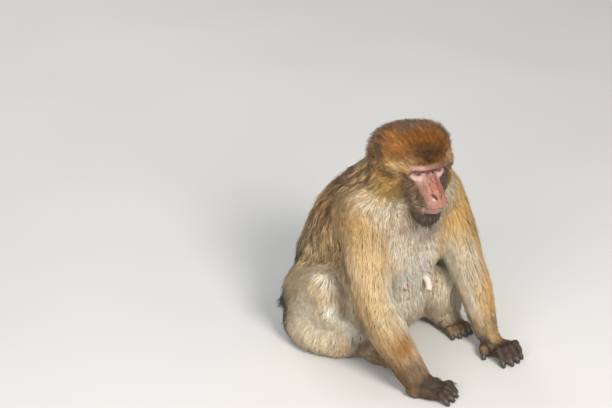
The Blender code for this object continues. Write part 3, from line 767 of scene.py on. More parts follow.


# %% [markdown]
# On the body the colours follow the trunk, the arms and the legs in turn. Places are measured from where the
# construction model measures them. The back is dark olive, flecked along the lie of the hair, with a black
# edge of painted shade behind each flank, and the throat and chest are pale.

# %% Paint the trunk
def paint_trunk(hair, normals, shares):
    """The dark nape, the flecked back and the pale chest, with painted shade under the chin and a black
    edge of painted shade behind each flank.
    """
    b = hair.points
    y, z = b.T[1:]
    trunk, body = share_of(shares, "trunk"), 1 - share_of(shares, "head")
    front = turned_up(normals, (0, -1, 0.1))
    hair.over(OCHRE, trunk * step(0.24, 0.30, z) * step(-0.08, -0.03, y) * 0.7)
    hair.spot(UMBER, (0, -0.01, 0.350), (0.09, 0.07, 0.035), trunk * 0.9)
    hair.spot((0.155, 0.085, 0.040), (-0.04, -0.03, 0.310), (0.09, 0.05, 0.035), trunk * 0.7)
    hair.spot((0.100, 0.058, 0.032), (-0.098, -0.075, 0.330), (0.022, 0.025, 0.028), body * 0.85)
    hair.over(SLATE, trunk * step(0.07, 0.11, y) * step(0.30, 0.20, z) * 0.55)
    pale = step(-0.045, -0.095, y) * step(-0.15, 0.35, front)
    hair.over(CHALK, trunk * pale * 0.95)
    hair.over(ASH, trunk * pale * step(0.15, 0.08, z) * 0.8)
    hair.spot((0.47, 0.430, 0.360), (0, -0.167, 0.190), (0.06, 0.05, 0.030), trunk * pale * 0.9)
    hair.spot(MAUVE, (-0.035, -0.150, 0.298), (0.050, 0.05, 0.026), body * step(-0.3, 0.2, front))
    # Painted shade: the throat under the chin, greyer and darker.
    hair.spot((0.235, 0.185, 0.145), (0.030, -0.170, 0.268), (0.032, 0.05, 0.020), body)
    hair.spot((0.30, 0.215, 0.135), (0.060, -0.17, 0.250), (0.018, 0.05, 0.030), body * 0.85)
    # Partly dark hair, partly painted shade from the head: a dark patch on the far side of the throat.
    hair.spot((0.080, 0.056, 0.040), (0.068, -0.175, 0.302), (0.020, 0.04, 0.020), body)
    back = trunk * step(-0.02, -0.30, front)
    fall = np.array([0.0, 0.3, -0.95])
    points = b + np.array(moved)
    fleck = clouds(points - fall * ((points @ fall) * 0.72)[:, None], 0.0065, 12) - 0.48
    hair.colours = hair.colours * (1 + (np.clip(fleck * 3.2, -0.60, 0.75) * back)[:, None])
    # Painted shade: a near-black edge on the hair that faces back and out behind each flank, darker on the
    # right.
    for s in SIDES:
        rear = turned_up(normals, (s * 0.72, 0.69, 0.05))
        rim = step(0.80 + 0.11 * trunk, 1.00, rear) * step(0.29, 0.24, z) * body * (0.95 if s < 0 else 0.7)
        hair.over((0.052, 0.038, 0.030), rim)
    hair.spot((0.125, 0.078, 0.042), (-0.072, 0.050, 0.262), (0.02, 0.03, 0.05), trunk * 0.6)
    hair.spot((0.40, 0.275, 0.140), (-0.100, -0.014, 0.247), (0.03, 0.022, 0.03), trunk * 0.75)
    hair.spot((0.44, 0.330, 0.195), (-0.120, 0.010, 0.200), (0.04, 0.035, 0.030), trunk * 0.7)
    hair.over((0.42, 0.28, 0.15), trunk * step(0.13, 0.06, z) * step(-0.06, -0.12, y) * 0.4)


# %% [markdown]
# The arms are golden outside and chalky inside, with an orange patch above the wrist and dark hands. The two
# aren't marked alike, so some patches belong to one arm only.

# %% Paint an arm
def paint_arm(hair, s, normals, shares):
    b = hair.points
    y, z = b.T[1:]
    arm, low = share_of(shares, "upper_arm_" + SIDES[s]), share_of(shares, "forearm_" + SIDES[s])
    front = turned_up(normals, (0, -1, 0.1))
    points = b + np.array(moved)
    outer = turned_up(normals, (s, 0.25, 0.1))
    inner = -s * normals[:, 0] + (0.62 if s < 0 else 0.0)
    hair.over(CHALK, (arm + low) * step(0.62, 0.88, inner) * step(-0.4, 0.3, front) * 0.55)
    down = np.linalg.norm(points - np.array(WRIST[s]), axis=1)
    forward = turned_up(normals, (s * 0.75, -0.65, 0.1))
    hair.over(AMBER, low * hill(down - 0.078, 0.031) * step(-0.1, 0.55, forward))
    hair.over((0.17, 0.110, 0.065), low * step(0.062, 0.036, down))
    far_hand = np.array(ahead_of(WRIST[s], HAND_TURN[s], 0.036, 0.014))
    paw = step(0.052, 0.034, np.linalg.norm(points - far_hand, axis=1))
    hair.over((0.062, 0.042, 0.030), paw)
    hair.over((0.16, 0.105, 0.06), low * step(0.085, 0.045, down) * step(0.1, -0.5, front) * 0.6)
    hair.over(GOLD, arm * step(0.24, 0.31, z) * step(-0.3, 0.5, outer) * 0.75)
    if s > 0:
        hair.over((0.46, 0.305, 0.135), (arm + low) * step(-0.55, -0.25, -inner + 0.3) * 0.8)
        pale_arm = bump(b, (0.085, -0.205, 0.200), (0.040, 0.06, 0.055)) * step(0.55, 0.15, normals[:, 0])
        hair.over((0.47, 0.400, 0.290), (arm + low) * np.clip(pale_arm * 1.3, 0, 1) * 0.9)
        hair.spot((0.56, 0.330, 0.115), (0.090, -0.185, 0.285), (0.030, 0.04, 0.035), arm * 0.9)
        hair.spot((0.36, 0.220, 0.095), (0.118, -0.180, 0.262), (0.020, 0.04, 0.045), arm * 0.9)
        # Partly golden hair, partly painted light: a bright orange band on the left arm's outer side, facing
        # forward and out.
        edge = step(0.15, 0.60, turned_up(normals, (0.85, -0.52, 0))) * hill(z - 0.13, 0.045)
        hair.over((0.60, 0.345, 0.145), (arm + low) * edge * 0.85)
        hair.spot((0.27, 0.185, 0.105), (0.122, -0.254, 0.066), (0.020, 0.03, 0.022), low * 0.9)
        hair.spot((0.56, 0.41, 0.25), (0.096, -0.240, 0.078), (0.010, 0.02, 0.03), low * 0.8)
    else:
        pale_arm = step(0.50, 0.85, inner) * step(0.2, 0.7, front) * step(0.11, 0.15, z)
        hair.over((0.58, 0.500, 0.370), (arm + low) * pale_arm * 0.75)
        # Partly darker hair, partly painted shade: the back of the right arm darker, most of all low down.
        behind = step(-0.05, 0.45, turned_up(normals, (-0.75, 0.66, 0))) * step(0.24, 0.18, z)
        darker_down = Wash(np.tile([0.40, 0.265, 0.130], (len(b), 1)), b)
        darker_down.over((0.145, 0.085, 0.038), step(0.115, 0.055, z))
        hair.over(darker_down.colours, (arm + low) * behind * 0.85)
        pale_wrist = step(0.35, 0.80, turned_up(normals, (0.80, -0.58, 0.1))) * hill(z - 0.085, 0.03)
        hair.over((0.47, 0.340, 0.225), low * pale_wrist * 0.8)
    hair.over((0.30, 0.19, 0.10), arm * step(-0.11, -0.06, y) * 0.75)


# %% [markdown]
# The haunches are pale, browner at the top and the rear, with a band of painted shade in the gap between each
# haunch and its arm. The right one has white patches, partly pale hair and partly painted highlight, with a
# tan crease below them.

# %% Paint a leg
def paint_leg(hair, s, shares):
    b = hair.points
    y, z = b.T[1:]
    trunk, leg = share_of(shares, "trunk"), share_of(shares, "thigh_" + SIDES[s], "shank_" + SIDES[s])
    hair.spot((0.77, 0.670, 0.520), (s * 0.150, -0.022, 0.095), (0.03, 0.042, 0.048), leg * 0.9)
    hair.spot((0.36, 0.255, 0.150), (s * 0.145, -0.045, 0.180), (0.05, 0.050, 0.026), leg * 0.85)
    hair.spot((0.46, 0.345, 0.215), (s * 0.142, -0.066, 0.158), (0.024, 0.026, 0.014), leg * 0.9)
    if s < 0:
        # Partly pale hair, partly painted highlight: white patches on the right haunch, as bright as sunlit
        # fur.
        pale_lit_band = to_line(b, (-0.132, -0.080, 0.130), (-0.086, -0.101, 0.052))
        white = bump(b, (-0.122, -0.053, 0.188), (0.016, 0.016, 0.015)) * 1.5 + hill(pale_lit_band, 0.0130) * 1.2
        hair.over((0.88, 0.850, 0.760), leg * white)
        hair.spot((0.52, 0.355, 0.200), (-0.116, -0.088, 0.042), (0.018, 0.02, 0.012), leg * 0.9)
        crease = to_line(b, (-0.144, -0.064, 0.122), (-0.128, -0.075, 0.092))
        crease = np.minimum(crease, to_line(b, (-0.128, -0.075, 0.092), (-0.100, -0.095, 0.052)))
        hair.over((0.34, 0.205, 0.095), leg * hill(crease, 0.0065) * 0.85)
    # Painted shade: a dark band in the gap between each haunch and its arm.
    shaded_gap = to_line(b, (s * 0.122, -0.083, 0.160), (s * 0.112, -0.082, 0.114))
    hair.over((0.15, 0.095, 0.050), (leg + trunk) * hill(shaded_gap, 0.009) * 0.9)
    rear = step(-0.03, 0.01, y) * 0.75 if s < 0 else step(-0.09, -0.04, y)
    hair.over((0.32, 0.22, 0.12), leg * step(0.095, 0.150, z) * rear)
    hair.over(UMBER, leg * step(0.035, 0.080, y) * 0.55)


# %% Paint the folds and join the body's markings
def paint_folds(hair, normals, shares):
    """Painted shade in the gaps where the limbs fold and round the right heel, the pale knee and shin, and
    the coat darker low down by the floor.
    """
    b = hair.points
    x, z = b[:, 0], b[:, 2]
    trunk, thigh, shank = (share_of(shares, kind) for kind in ("trunk", "thigh", "shank"))
    front = turned_up(normals, (0, -1, 0.1))
    # Painted shade: a dark strip of flank between the right haunch and the right arm.
    shaded = to_line(b, (-0.099, -0.084, 0.170), (-0.076, -0.101, 0.066))
    hair.over((0.150, 0.092, 0.038), (trunk + shank * 0.4) * hill(shaded, 0.020) * 0.95)
    # Painted shade: dark brown round the right heel, by the arm.
    heel_shade = bump(b, (-0.078, -0.100, 0.034), (0.020, 0.03, 0.016)) * 1.3
    hair.over((0.165, 0.100, 0.052), shank * np.clip(heel_shade, 0, 1) * 0.95)
    flank = bump(b, (0, -0.055, 0.190), (0.30, 0.050, 0.055)) * step(0.35, -0.1, front)
    hair.over((0.30, 0.195, 0.100), trunk * flank * 0.9)
    hair.over(ASH, thigh * step(0.09, 0.05, np.abs(x)) * 0.7)
    knee = bump(b, (0.085, -0.150, 0.125), (0.045, 0.045, 0.045))
    hair.over((0.50, 0.41, 0.285), (shank + thigh) * np.clip(knee * 1.6, 0, 1))
    hair.spot((0.74, 0.64, 0.470), (0.092, -0.162, 0.104), (0.030, 0.04, 0.026), shank + thigh)
    hidden = step(0.02, -0.02, b @ (-0.7, -0.7, 0) - 0.12)
    hair.over((0.16, 0.12, 0.085), (shank + thigh) * step(0.040, 0.014, z) * hidden * 0.8)
    hair.over((0.13, 0.10, 0.075), (shank + thigh) * step(0.024, 0.006, z) * 0.75)


def body_colours(points, normals, shares):
    """The colour of the coat at each point of the animal."""
    tints = np.array([TINT[kind_of(part)] for part in PARTS])
    hair = Wash(shares @ tints, points - np.array(moved))
    paint_trunk(hair, normals, shares)
    for s in SIDES:
        paint_arm(hair, s, normals, shares)
        paint_leg(hair, s, shares)
    paint_folds(hair, normals, shares)
    return head_colours(in_head(points), hair.colours, shares[:, PART_AT["head"]])


print("markings of the body ready")

# %% [markdown]
# The skin carries the coat's own markings where hair grows, a little darker as painted shade under the coat.
# The bare face is salmon, rosier above, with pale lids and wrinkles drawn down the nose. Painted shade, with
# some dark skin, makes a line under the brow. Painted shade also darkens the rims of the eyes, the nostrils
# and the line between the lips, and painted highlights lie on the near brow and beside each nostril.

# %% Paint the bare skin
def skin_colours(points, normals):
    """The colour of the skin: the coat's own where hair grows, flesh where it is bare."""
    shares = shares_of(points)
    # Painted shade: where hair grows, the skin takes the coat's colours a little darker, as shade under the
    # coat.
    colours = body_colours(points, normals, shares) * 0.92
    p = in_head(points)
    x, y, z = p.T
    face = bare_face(points)
    flesh = Wash(np.tile(np.array(SALMON), (len(p), 1)), p)
    flesh.over(ROSE, step(0.008, 0.018, z) * 0.9)
    # Partly pink skin, partly painted highlight: a paler spot on the near brow, above the eye.
    flesh.spot((0.31, 0.170, 0.150), (-0.021, -0.072, 0.0235), (0.011, 0.012, 0.005), 0.8)
    flesh.over((0.115, 0.042, 0.026), step(-0.016, 0.006, x) * step(0.0175, 0.0225, z) * 0.95)
    flesh.over((0.25, 0.150, 0.118), step(0.013, 0.021, np.abs(x)) * step(0.002, -0.012, z) * 0.7)
    flesh.spot((0.25, 0.080, 0.052), (0.003, -0.084, -0.006), (0.009, 0.022, 0.019), 0.9)
    flesh.spot((0.17, 0.075, 0.052), (0.007, -0.078, 0.006), (0.006, 0.014, 0.009), 0.7)
    flesh.spot((0.29, 0.140, 0.090), (-0.010, -0.088, -0.014), (0.006, 0.018, 0.014), 0.7)
    flesh.spot((0.27, 0.160, 0.128), (0, -0.104, -0.036), (0.022, 0.014, 0.009), 0.9)
    flesh.spot((0.25, 0.160, 0.138), (0, -0.100, -0.050), (0.022, 0.016, 0.008), 0.9)
    down_nose = np.array([0.0, -0.68, -0.73])
    drawn = p - down_nose * ((p @ down_nose) * 0.80)[:, None]
    lines = np.clip((clouds(drawn, 0.0019, 8) - 0.5) * 2.6, -0.8, 0.3)
    on_nose = bump(p, (0, -0.084, -0.006), (0.018, 0.030, 0.026))
    flesh.colours = flesh.colours * (1 + (lines * on_nose)[:, None] * np.array([0.60, 0.95, 1.0]))
    flesh.colours = flesh.colours * (1 + (clouds(p, 0.0035, 9) - 0.5)[:, None] * 0.30)
    flesh.over((0.15, 0.10, 0.085), step(-0.052, -0.062, z))
    for side in SIDES:
        _, reach, _, up, almond = lid_place(p, side)
        flesh.spot(LID, (side * 0.022, -0.066, 0.001), (0.0150, 0.014, 0.0068), 1.3)
        flesh.spot(LID, (side * 0.031, -0.062, 0.004), (0.009, 0.012, 0.0050), 0.9)
        flesh.spot((0.24, 0.14, 0.11), (side * 0.029, -0.062, -0.0075), (0.010, 0.012, 0.0050), 0.8)
        # Painted shade: a dark rim round each eye opening, darker along the upper lid, and dark skin behind
        # the eyeball.
        rim = (almond < 8) * hill(almond - 1.02, 0.16) * (reach < 0.0125)
        flesh.over(SHADE, rim * np.where(up > 0, 1.0, 0.75))
        flesh.over(SHADE, (almond < 0.9) * 1.0)
        slit = nostril(p, side)
        # Painted highlight: a pale spot on the wing of each nostril, strong on the near one and faint on the
        # far one.
        wing = (side * 0.0088, -0.1040, -0.0235)
        flesh.spot((0.66, 0.52, 0.48), wing, (0.0032, 0.010, 0.0024), 0.6 if side < 0 else 0.2)
        # Painted shade in the slit of each nostril.
        flesh.over((0.030, 0.012, 0.010), hill(slit, 0.0021) * 1.4)
    # Painted shade, with some dark skin: a dark line under the brow from eye to eye, and down beside the root
    # of the nose.
    flesh.over(SHADE, np.exp(-((under_brow(p) / 0.0030) ** 4)) * 0.97)
    for side in SIDES:
        root = to_line(p, (side * 0.0150, -0.0690, 0.0125), (side * 0.0040, -0.0755, 0.0128))
        flesh.over(SHADE, np.exp(-((root / 0.0030) ** 4)) * 0.93)
    # Painted shade: a dark line in the groove between the lips.
    front = 1 - step(-0.072, -0.062, y)
    flesh.over((0.15, 0.100, 0.090), hill(lip_line(p), 0.0013) * front * 0.75)
    colours = colours + (flesh.colours - colours) * face[:, None]
    for side in SIDES:
        ear = bump(p, (side * 0.069, 0.011, 0.002), (0.008, 0.016, 0.019)) * 1.7
        colours = laid_over(colours, (0.14, 0.085, 0.062), ear)
        teat = outside(points, (ends(*NIPPLES[side][1:]), 0.006))
        tint = (0.74, 0.50, 0.46) if side > 0 else (0.47, 0.27, 0.225)
        colours = laid_over(colours, tint, step(0.003, -0.001, teat))
    return colours


def write_colours(mesh, colours, name="marks"):
    """Stores a colour for each point of a mesh."""
    layer = mesh.color_attributes.new(name=name, type="FLOAT_COLOR", domain="POINT")
    alpha = np.ones((len(colours), 1))
    layer.data.foreach_set("color", np.hstack([colours, alpha]).astype(np.float32).ravel())


places, normals = read_points(skin.data), read_points(skin.data, "normal")
write_colours(skin.data, np.clip(skin_colours(places, normals), 0, 1))
print("skin painted")

# %% [markdown]
# ## The coat
# A real coat is hair in small locks that overlap like thatch. One lock is a flat three-sided spike: a ring at
# its root, a ring at its bend and a point. Well over a hundred thousand of them are laid over the skin. Each
# one starts inside the skin, follows the lie of the hair there, and bends so that its point comes out at the
# surface of the construction model. Hair lies away from the face, down the body and along each limb.

# %% Say how the hair lies
def unit(vectors):
    return vectors / np.maximum(np.linalg.norm(vectors, axis=1, keepdims=True), 1e-9)


def lie_of_hair(points, shares):
    """The direction in which the hair points, before it is laid flat on the skin."""
    b = points - np.array(moved)
    x, y, z = b.T
    ways = np.zeros((len(points), 3))
    p = in_head(points)
    there = np.array(HEAD)[:3, :3]
    away = unit(p - np.array([0, -0.085, -0.005]))
    low = step(0.022, -0.012, p[:, 2]) + step(0.010, 0.065, p[:, 1])
    sideways = np.sign(p[:, 0]) * step(0.0, 0.03, np.abs(p[:, 0])) * step(0.010, -0.030, p[:, 2])
    head_way = away + low[:, None] * np.array([0, 0, -0.95]) + sideways[:, None] * np.array([0.25, 0, 0])
    ways += unit(head_way @ there.T) * shares[:, [PART_AT["head"]]]
    fan = np.clip(x / 0.06, -1, 1) * step(0.12, 0.34, z)
    backward = step(0.24, 0.36, z) * step(-0.12, -0.04, y)
    trunk_way = np.stack([0.55 * fan, 0.55 * backward, -np.ones(len(x))], 1)
    ways += unit(trunk_way) * shares[:, [PART_AT["trunk"]]]
    ways += np.array([0, 0.75, -0.66]) * shares[:, [PART_AT["tail"]]]
    for side, word in SIDES.items():
        arm_way = (ELBOW[side] - SHOULDER[side]).normalized() + Vector((0, 0.18, 0))
        ways += np.array(arm_way) * shares[:, [PART_AT["upper_arm_" + word]]]
        low_way = (WRIST[side] - ELBOW[side]).normalized() + Vector((0, 0.20, 0))
        ways += np.array(low_way) * shares[:, [PART_AT["forearm_" + word]]]
        hand_way = Matrix.Rotation(HAND_TURN[side], 3, "Z") @ Vector((0, -1, -0.25))
        ways += np.array(hand_way) * shares[:, [PART_AT["hand_" + word]]]
        ways += np.array([0.0, 0.22, -0.97]) * shares[:, [PART_AT["thigh_" + word]]]
        ways += np.array([side * 0.1, 0.10, -0.97]) * shares[:, [PART_AT["shank_" + word]]]
        foot_way = Matrix.Rotation(FOOT_TURN[side], 3, "Z") @ Vector((0, -1, -0.25))
        ways += np.array(foot_way) * shares[:, [PART_AT["foot_" + word]]]
    return unit(ways)


LENGTH = {
    "head": 0.0150,
    "trunk": 0.0340,
    "tail": 0.0120,
    "upper_arm": 0.0280,
    "forearm": 0.0210,
    "hand": 0.0062,
    "thigh": 0.0290,
    "shank": 0.0180,
    "foot": 0.0062,
}


def hair_length(points, shares):
    """The length of the locks, in metres."""
    length = shares @ np.array([LENGTH[kind_of(part)] for part in PARTS])
    p = in_head(points)
    head = shares[:, PART_AT["head"]]
    ruff = step(0.008, -0.030, p[:, 2]) * step(-0.045, -0.015, p[:, 1])
    length = length + head * ruff * 0.0100 + head * step(0.04, 0.08, p[:, 1]) * 0.008
    length = length + head * bump(p, (0, -0.085, -0.074), (0.036, 0.03, 0.02)) * 0.009
    rim = bump(p, (0, -0.078, -0.008), (0.046, 0.046, 0.050)) * 1.6
    length = length * (1 - head * np.clip(rim, 0, 1) * 0.68)
    ear = sum(bump(p, (s * 0.067, 0.010, 0.002), (0.012, 0.016, 0.020)) for s in SIDES)
    length = length * (1 - head * np.clip(ear * 1.5, 0, 1) * 0.70)
    b = points - np.array(moved)
    trunk = shares[:, PART_AT["trunk"]]
    length = length - trunk * step(-0.06, -0.11, b[:, 1]) * 0.010
    length = length - share_of(shares, "forearm") * step(0.12, 0.05, b[:, 2]) * 0.009
    return length - share_of(shares, "thigh", "shank") * step(0.030, 0.008, b[:, 2]) * 0.008


print("lie and length of the hair set")

# %% [markdown]
# Roots are strewn over the faces of the skin in step with their area, closer where the hair is shorter. No
# hair grows on the face, the insides of the ears, the nipples, the palms and soles, or the last joints.

# %% Strew the roots
def triangles_of(mesh):
    mesh.calc_loop_triangles()
    flat = np.empty(len(mesh.loop_triangles) * 3, np.int32)
    mesh.loop_triangles.foreach_get("vertices", flat)
    return flat.reshape(-1, 3)


def in_head_way(ways):
    """Directions in the head's own frame."""
    return ways @ np.array(HEAD)[:3, :3]


def hairy(points, normals, shares):
    """1 where hair grows and 0 where the skin is bare."""
    p = in_head(points)
    grows = 1 - step(0.35, 0.75, bare_face(points))
    for side in SIDES:
        ear = bump(p, (side * 0.068, 0.011, 0.002), (0.008, 0.014, 0.018))
        grows = grows * (1 - 0.9 * step(0.45, 0.7, ear) * step(-0.2, -0.6, in_head_way(normals)[:, 1]))
        grows = grows * step(0.0035, 0.0060, outside(points, (ends(*NIPPLES[side][1:]), 0.006)))
    paws = share_of(shares, "hand", "foot")
    grows = grows * (1 - paws * step(0.1, -0.4, normals[:, 2]))
    for tip, *_ in TIPS:
        grows = grows * step(0.010, 0.016, np.linalg.norm(points - np.array(tip), axis=1))
    under = step(-0.2, -0.6, normals[:, 2]) * step(0.006, 0.002, points[:, 2])
    return grows * (1 - under)


triangles = triangles_of(skin.data)
places, normals = read_points(skin.data), read_points(skin.data, "normal")
corners = places[triangles]
middles = corners.mean(1)
area = np.linalg.norm(np.cross(corners[:, 1] - corners[:, 0], corners[:, 2] - corners[:, 0]), axis=1) / 2
flat_normals = unit(normals[triangles].mean(1))
shares = shares_of(middles)
closeness = area * hairy(middles, flat_normals, shares) / hair_length(middles, shares) ** 0.85

head_middles = in_head(middles)
part = shares.argmax(1)
kinds = np.array([kind_of(name) for name in PARTS])[part]
body_middles = middles - np.array(moved)
right = np.array([name.endswith("_right") for name in PARTS])[part]
on_back = (kinds == "tail") | ((kinds == "trunk") & (turned_up(flat_normals, (0, -1, 0.1)) < 0.1))
COAT = {  # each piece of the coat: which faces it grows from, and how many locks it has
    "coat_crown": ((kinds == "head") & (head_middles[:, 2] > 0.012), 18500),
    "coat_cheeks": ((kinds == "head") & (head_middles[:, 2] <= 0.012), 18500),
    "coat_shoulders": (on_back & (body_middles[:, 2] > 0.215), 13500),
    "coat_back": (on_back & (body_middles[:, 2] <= 0.215), 12000),
    "coat_chest": ((kinds == "trunk") & ~on_back, 14500),
    "coat_arm_right": (np.isin(kinds, ("upper_arm", "forearm")) & right, 14500),
    "coat_arm_left": (np.isin(kinds, ("upper_arm", "forearm")) & ~right, 13500),
    "coat_leg_right": (np.isin(kinds, ("thigh", "shank")) & right, 15500),
    "coat_leg_left": (np.isin(kinds, ("thigh", "shank")) & ~right, 13500),
    "coat_paws": (np.isin(kinds, ("hand", "foot")), 12500),
}


def strew(chosen, count):
    """Roots on the chosen faces of the skin, with the skin's normal at each."""
    picked = np.nonzero(chosen)[0]
    total = np.cumsum(closeness[picked])
    marks = (np.arange(count) + chance.random(count)) / count * total[-1]
    face = picked[np.minimum(np.searchsorted(total, marks), len(picked) - 1)]
    a, b = np.sqrt(chance.random(count)), chance.random(count)
    weights = np.stack([1 - a, a * (1 - b), a * b], 1)[:, :, None]
    return (corners[face] * weights).sum(1), unit((normals[triangles[face]] * weights).sum(1))


print("faces that grow hair:", {name: int(chosen.sum()) for name, (chosen, count) in COAT.items()})

# %% [markdown]
# One lock is bent over the skin in two strides. After each stride the nearest point of the skin is found
# again, so long hair follows the curve of the body instead of cutting through it. Its height is the room
# there is below the surface of the construction model. A slow random figure turns neighbours the same way,
# which draws the coat into tufts, and a quick one ruffles each lock by itself.

# %% Bend the locks over the skin
skin_tree = BVHTree.FromPolygons(places.tolist(), triangles.tolist())


def on_skin(points):
    """The nearest points of the skin, with the skin's normals there."""
    found = [skin_tree.find_nearest(Vector(p)) for p in points.tolist()]
    return np.array([f[0] for f in found]), np.array([f[1] for f in found])


def flat_on(normals, ways):
    """Directions laid flat on the skin."""
    return unit(ways - (ways * normals).sum(1, keepdims=True) * normals)


def room_over(points):
    """How far the surface of the construction model is above each point."""
    return np.array([outer_tree.find_nearest(Vector(p))[3] for p in points.tolist()])


def turned_by(ways, normals, angles):
    """Directions turned about the skin's normals."""
    return ways * np.cos(angles)[:, None] + np.cross(normals, ways) * np.sin(angles)[:, None]


def bend_locks(roots, normals):
    """The root, bend and point of every lock, with the normals there."""
    count = len(roots)
    shares = shares_of(roots)
    length = hair_length(roots, shares) * chance.uniform(0.72, 1.12, count)
    room = np.clip(room_over(roots), 0.0010, 0.0150)
    swirl = (clouds(roots, 0.016, 1) - 0.5) * 1.1 + (clouds(roots, 0.006, 2) - 0.5) * 0.9
    ways = flat_on(normals, lie_of_hair(roots, shares))
    chest = shares[:, PART_AT["trunk"]] * step(0.0, 0.5, turned_up(normals, (0, -1, 0.1)))
    ways = turned_by(ways, normals, swirl * 0.55 * (1 - 0.65 * chest) + chance.normal(0, 0.13, count))
    bend_foot, bend_normals = on_skin(roots + ways * (length * 0.5)[:, None])
    onward = flat_on(bend_normals, ways * 0.6 + lie_of_hair(bend_foot, shares) * 0.4)
    tip_foot, tip_normals = on_skin(bend_foot + onward * (length * 0.5)[:, None])
    calm = chest + share_of(shares, "upper_arm", "forearm", "thigh", "shank")
    lift = 0.82 + (0.56 - 0.32 * calm) * (clouds(roots, 0.009, 3) - 0.5) + chance.normal(0, 0.08, count)
    p = in_head(roots)
    head = shares[:, PART_AT["head"]]
    halo = head * step(-0.040, 0.010, p[:, 1]) * step(-0.02, 0.03, p[:, 2]) * step(0.074, 0.050, p[:, 2])
    lift = lift * (1 - 0.28 * head * step(0.040, 0.066, p[:, 2]))
    stray = chance.random(count) < 0.04 + 0.36 * halo
    stray_lift = chance.uniform(0.2, 0.8, count) * (0.7 + 0.9 * halo)
    lift = np.clip(lift, 0.35, 1.25) + np.where(stray, stray_lift, 0.0)
    rise = (room * lift)[:, None]
    tips = tip_foot + unit(tip_normals + normals * 0.25) * rise
    bends = bend_foot + bend_normals * rise * 0.80
    hang = head * np.clip(bump(p, (0, -0.090, -0.074), (0.036, 0.030, 0.016)) * 1.4, 0, 1)
    side_ruff = head * step(-0.030, -0.055, p[:, 2]) * step(0.040, 0.060, np.abs(p[:, 0])) * 0.35
    length = length * np.where(hang > 0.4, chance.uniform(0.7, 1.45, count), 1.0)
    hang = np.maximum(hang, side_ruff) * chance.uniform(0.35, 1.0, count)
    down = np.array(HEAD.to_3x3() @ Vector((0, -0.12, -1)))
    tips = tips + (roots + normals * 0.002 + down * length[:, None] * 1.05 - tips) * hang[:, None]
    bends = bends + (roots + normals * 0.004 + down * length[:, None] * 0.5 - bends) * hang[:, None] * 0.8
    rump = bump(roots - np.array(moved), (-0.118, 0.066, 0.090), (0.014, 0.014, 0.011))
    tips = tips + np.array([-0.012, 0.012, -0.003]) * (rump * 1.5)[:, None]
    bends = bends + np.array([-0.005, 0.005, 0.0]) * (rump * 1.5)[:, None]
    tips[:, 2] = np.maximum(tips[:, 2], 0.0008)
    bends[:, 2] = np.maximum(bends[:, 2], 0.0010)
    return shares, length, ways, roots - normals * 0.0006, bends, tips, bend_normals


print("ready to bend locks")

# %% [markdown]
# The lock's points and faces are the same for each, so a whole piece of the coat is made at once as one
# array. Each lock keeps a small patch on a map of the skin it grows from: the piece's own long axis runs up
# the map and the angle round that axis runs across it.

# %% Colour and build a piece of the coat
LOCK_FACES = np.array([
    (0, 1, 4), (0, 4, 3), (1, 2, 5), (1, 5, 4), (2, 0, 3), (2, 3, 5),  # the sides, root to bend
    (3, 4, 6), (4, 5, 6), (5, 3, 6),  # the sides, bend to point
    (0, 2, 1),  # the foot
])
WIDTH = {"head": 0.00095, "trunk": 0.00145, "tail": 0.0012, "upper_arm": 0.00125, "forearm": 0.00110,
         "hand": 0.00075, "thigh": 0.00135, "shank": 0.00120, "foot": 0.00075}
UNEVEN = {"head": 0.36, "trunk": 0.36, "tail": 0.20, "upper_arm": 0.10, "forearm": 0.10, "hand": 0.18,
          "thigh": 0.15, "shank": 0.12, "foot": 0.18}


def by_part(table, shares):
    return shares @ np.array([table[kind_of(part)] for part in PARTS])


def lock_colours(roots, normals, shares, ways):
    """The colour of each lock at its root, its bend and its point."""
    base = body_colours(roots, normals, shares)
    uneven = by_part(UNEVEN, shares)
    forward = turned_up(normals, (0, -1, 0.1))
    on_trunk = 0.65 * step(0.1, -0.4, forward) - 0.60 * step(0.0, 0.5, forward)
    uneven = uneven * (1 + shares[:, PART_AT["trunk"]] * on_trunk)
    tone = chance.normal(0, 1, len(roots)) * 0.65 + streaks(roots, ways, 0.0034, 5) * 1.9
    tone = np.exp(np.clip(tone * uneven, -1.1, 0.65))[:, None]
    warm = 1 + (clouds(roots, 0.012, 6) - 0.5)[:, None] * np.array([0.10, 0.0, -0.16])
    colours = base * tone * warm
    p = in_head(roots)
    in_beard = shares[:, PART_AT["head"]] * bump(p, (0.004, -0.088, -0.078), (0.045, 0.034, 0.020))
    colours = colours * (1 + 1.5 * in_beard * (chance.random(len(roots)) < 0.20))[:, None]
    frosted = shares[:, PART_AT["head"]] * step(0.020, 0.045, p[:, 2]) + shares[:, PART_AT["trunk"]] * 0.4
    dark_tip = (chance.random(len(roots)) < 0.55)[:, None] * np.clip(frosted, 0, 1)[:, None]
    tip = colours * 1.10 * (1 - dark_tip * 0.55) + np.array(SLATE) * dark_tip * 0.35
    # Painted shade: the root of each lock is a tenth darker than its bend, as shade deep in the coat.
    return [np.clip(c, 0, 1) for c in (colours * 0.90, colours * 1.0, tip)]


def map_of(points):
    """Where each point lies on a map of the piece, unrolled about its longest axis."""
    middle = points.mean(0)
    axis = np.linalg.eigh(np.cov((points - middle).T))[1]
    off = (points - middle) @ axis
    across = np.arctan2(off[:, 1], off[:, 0]) / (2 * math.pi) + 0.5
    up = (off[:, 2] - off[:, 2].min()) / np.ptp(off[:, 2])
    return 0.005 + 0.99 * np.stack([across, up], 1)


def mesh_from(name, points, faces):
    """A mesh of triangles from arrays."""
    mesh = bpy.data.meshes.new(name)
    mesh.vertices.add(len(points))
    mesh.vertices.foreach_set("co", points.astype(np.float32).ravel())
    mesh.loops.add(faces.size)
    mesh.loops.foreach_set("vertex_index", faces.astype(np.int32).ravel())
    mesh.polygons.add(len(faces))
    mesh.polygons.foreach_set("loop_start", np.arange(0, faces.size, 3, dtype=np.int32))
    mesh.update(calc_edges=True)
    return mesh


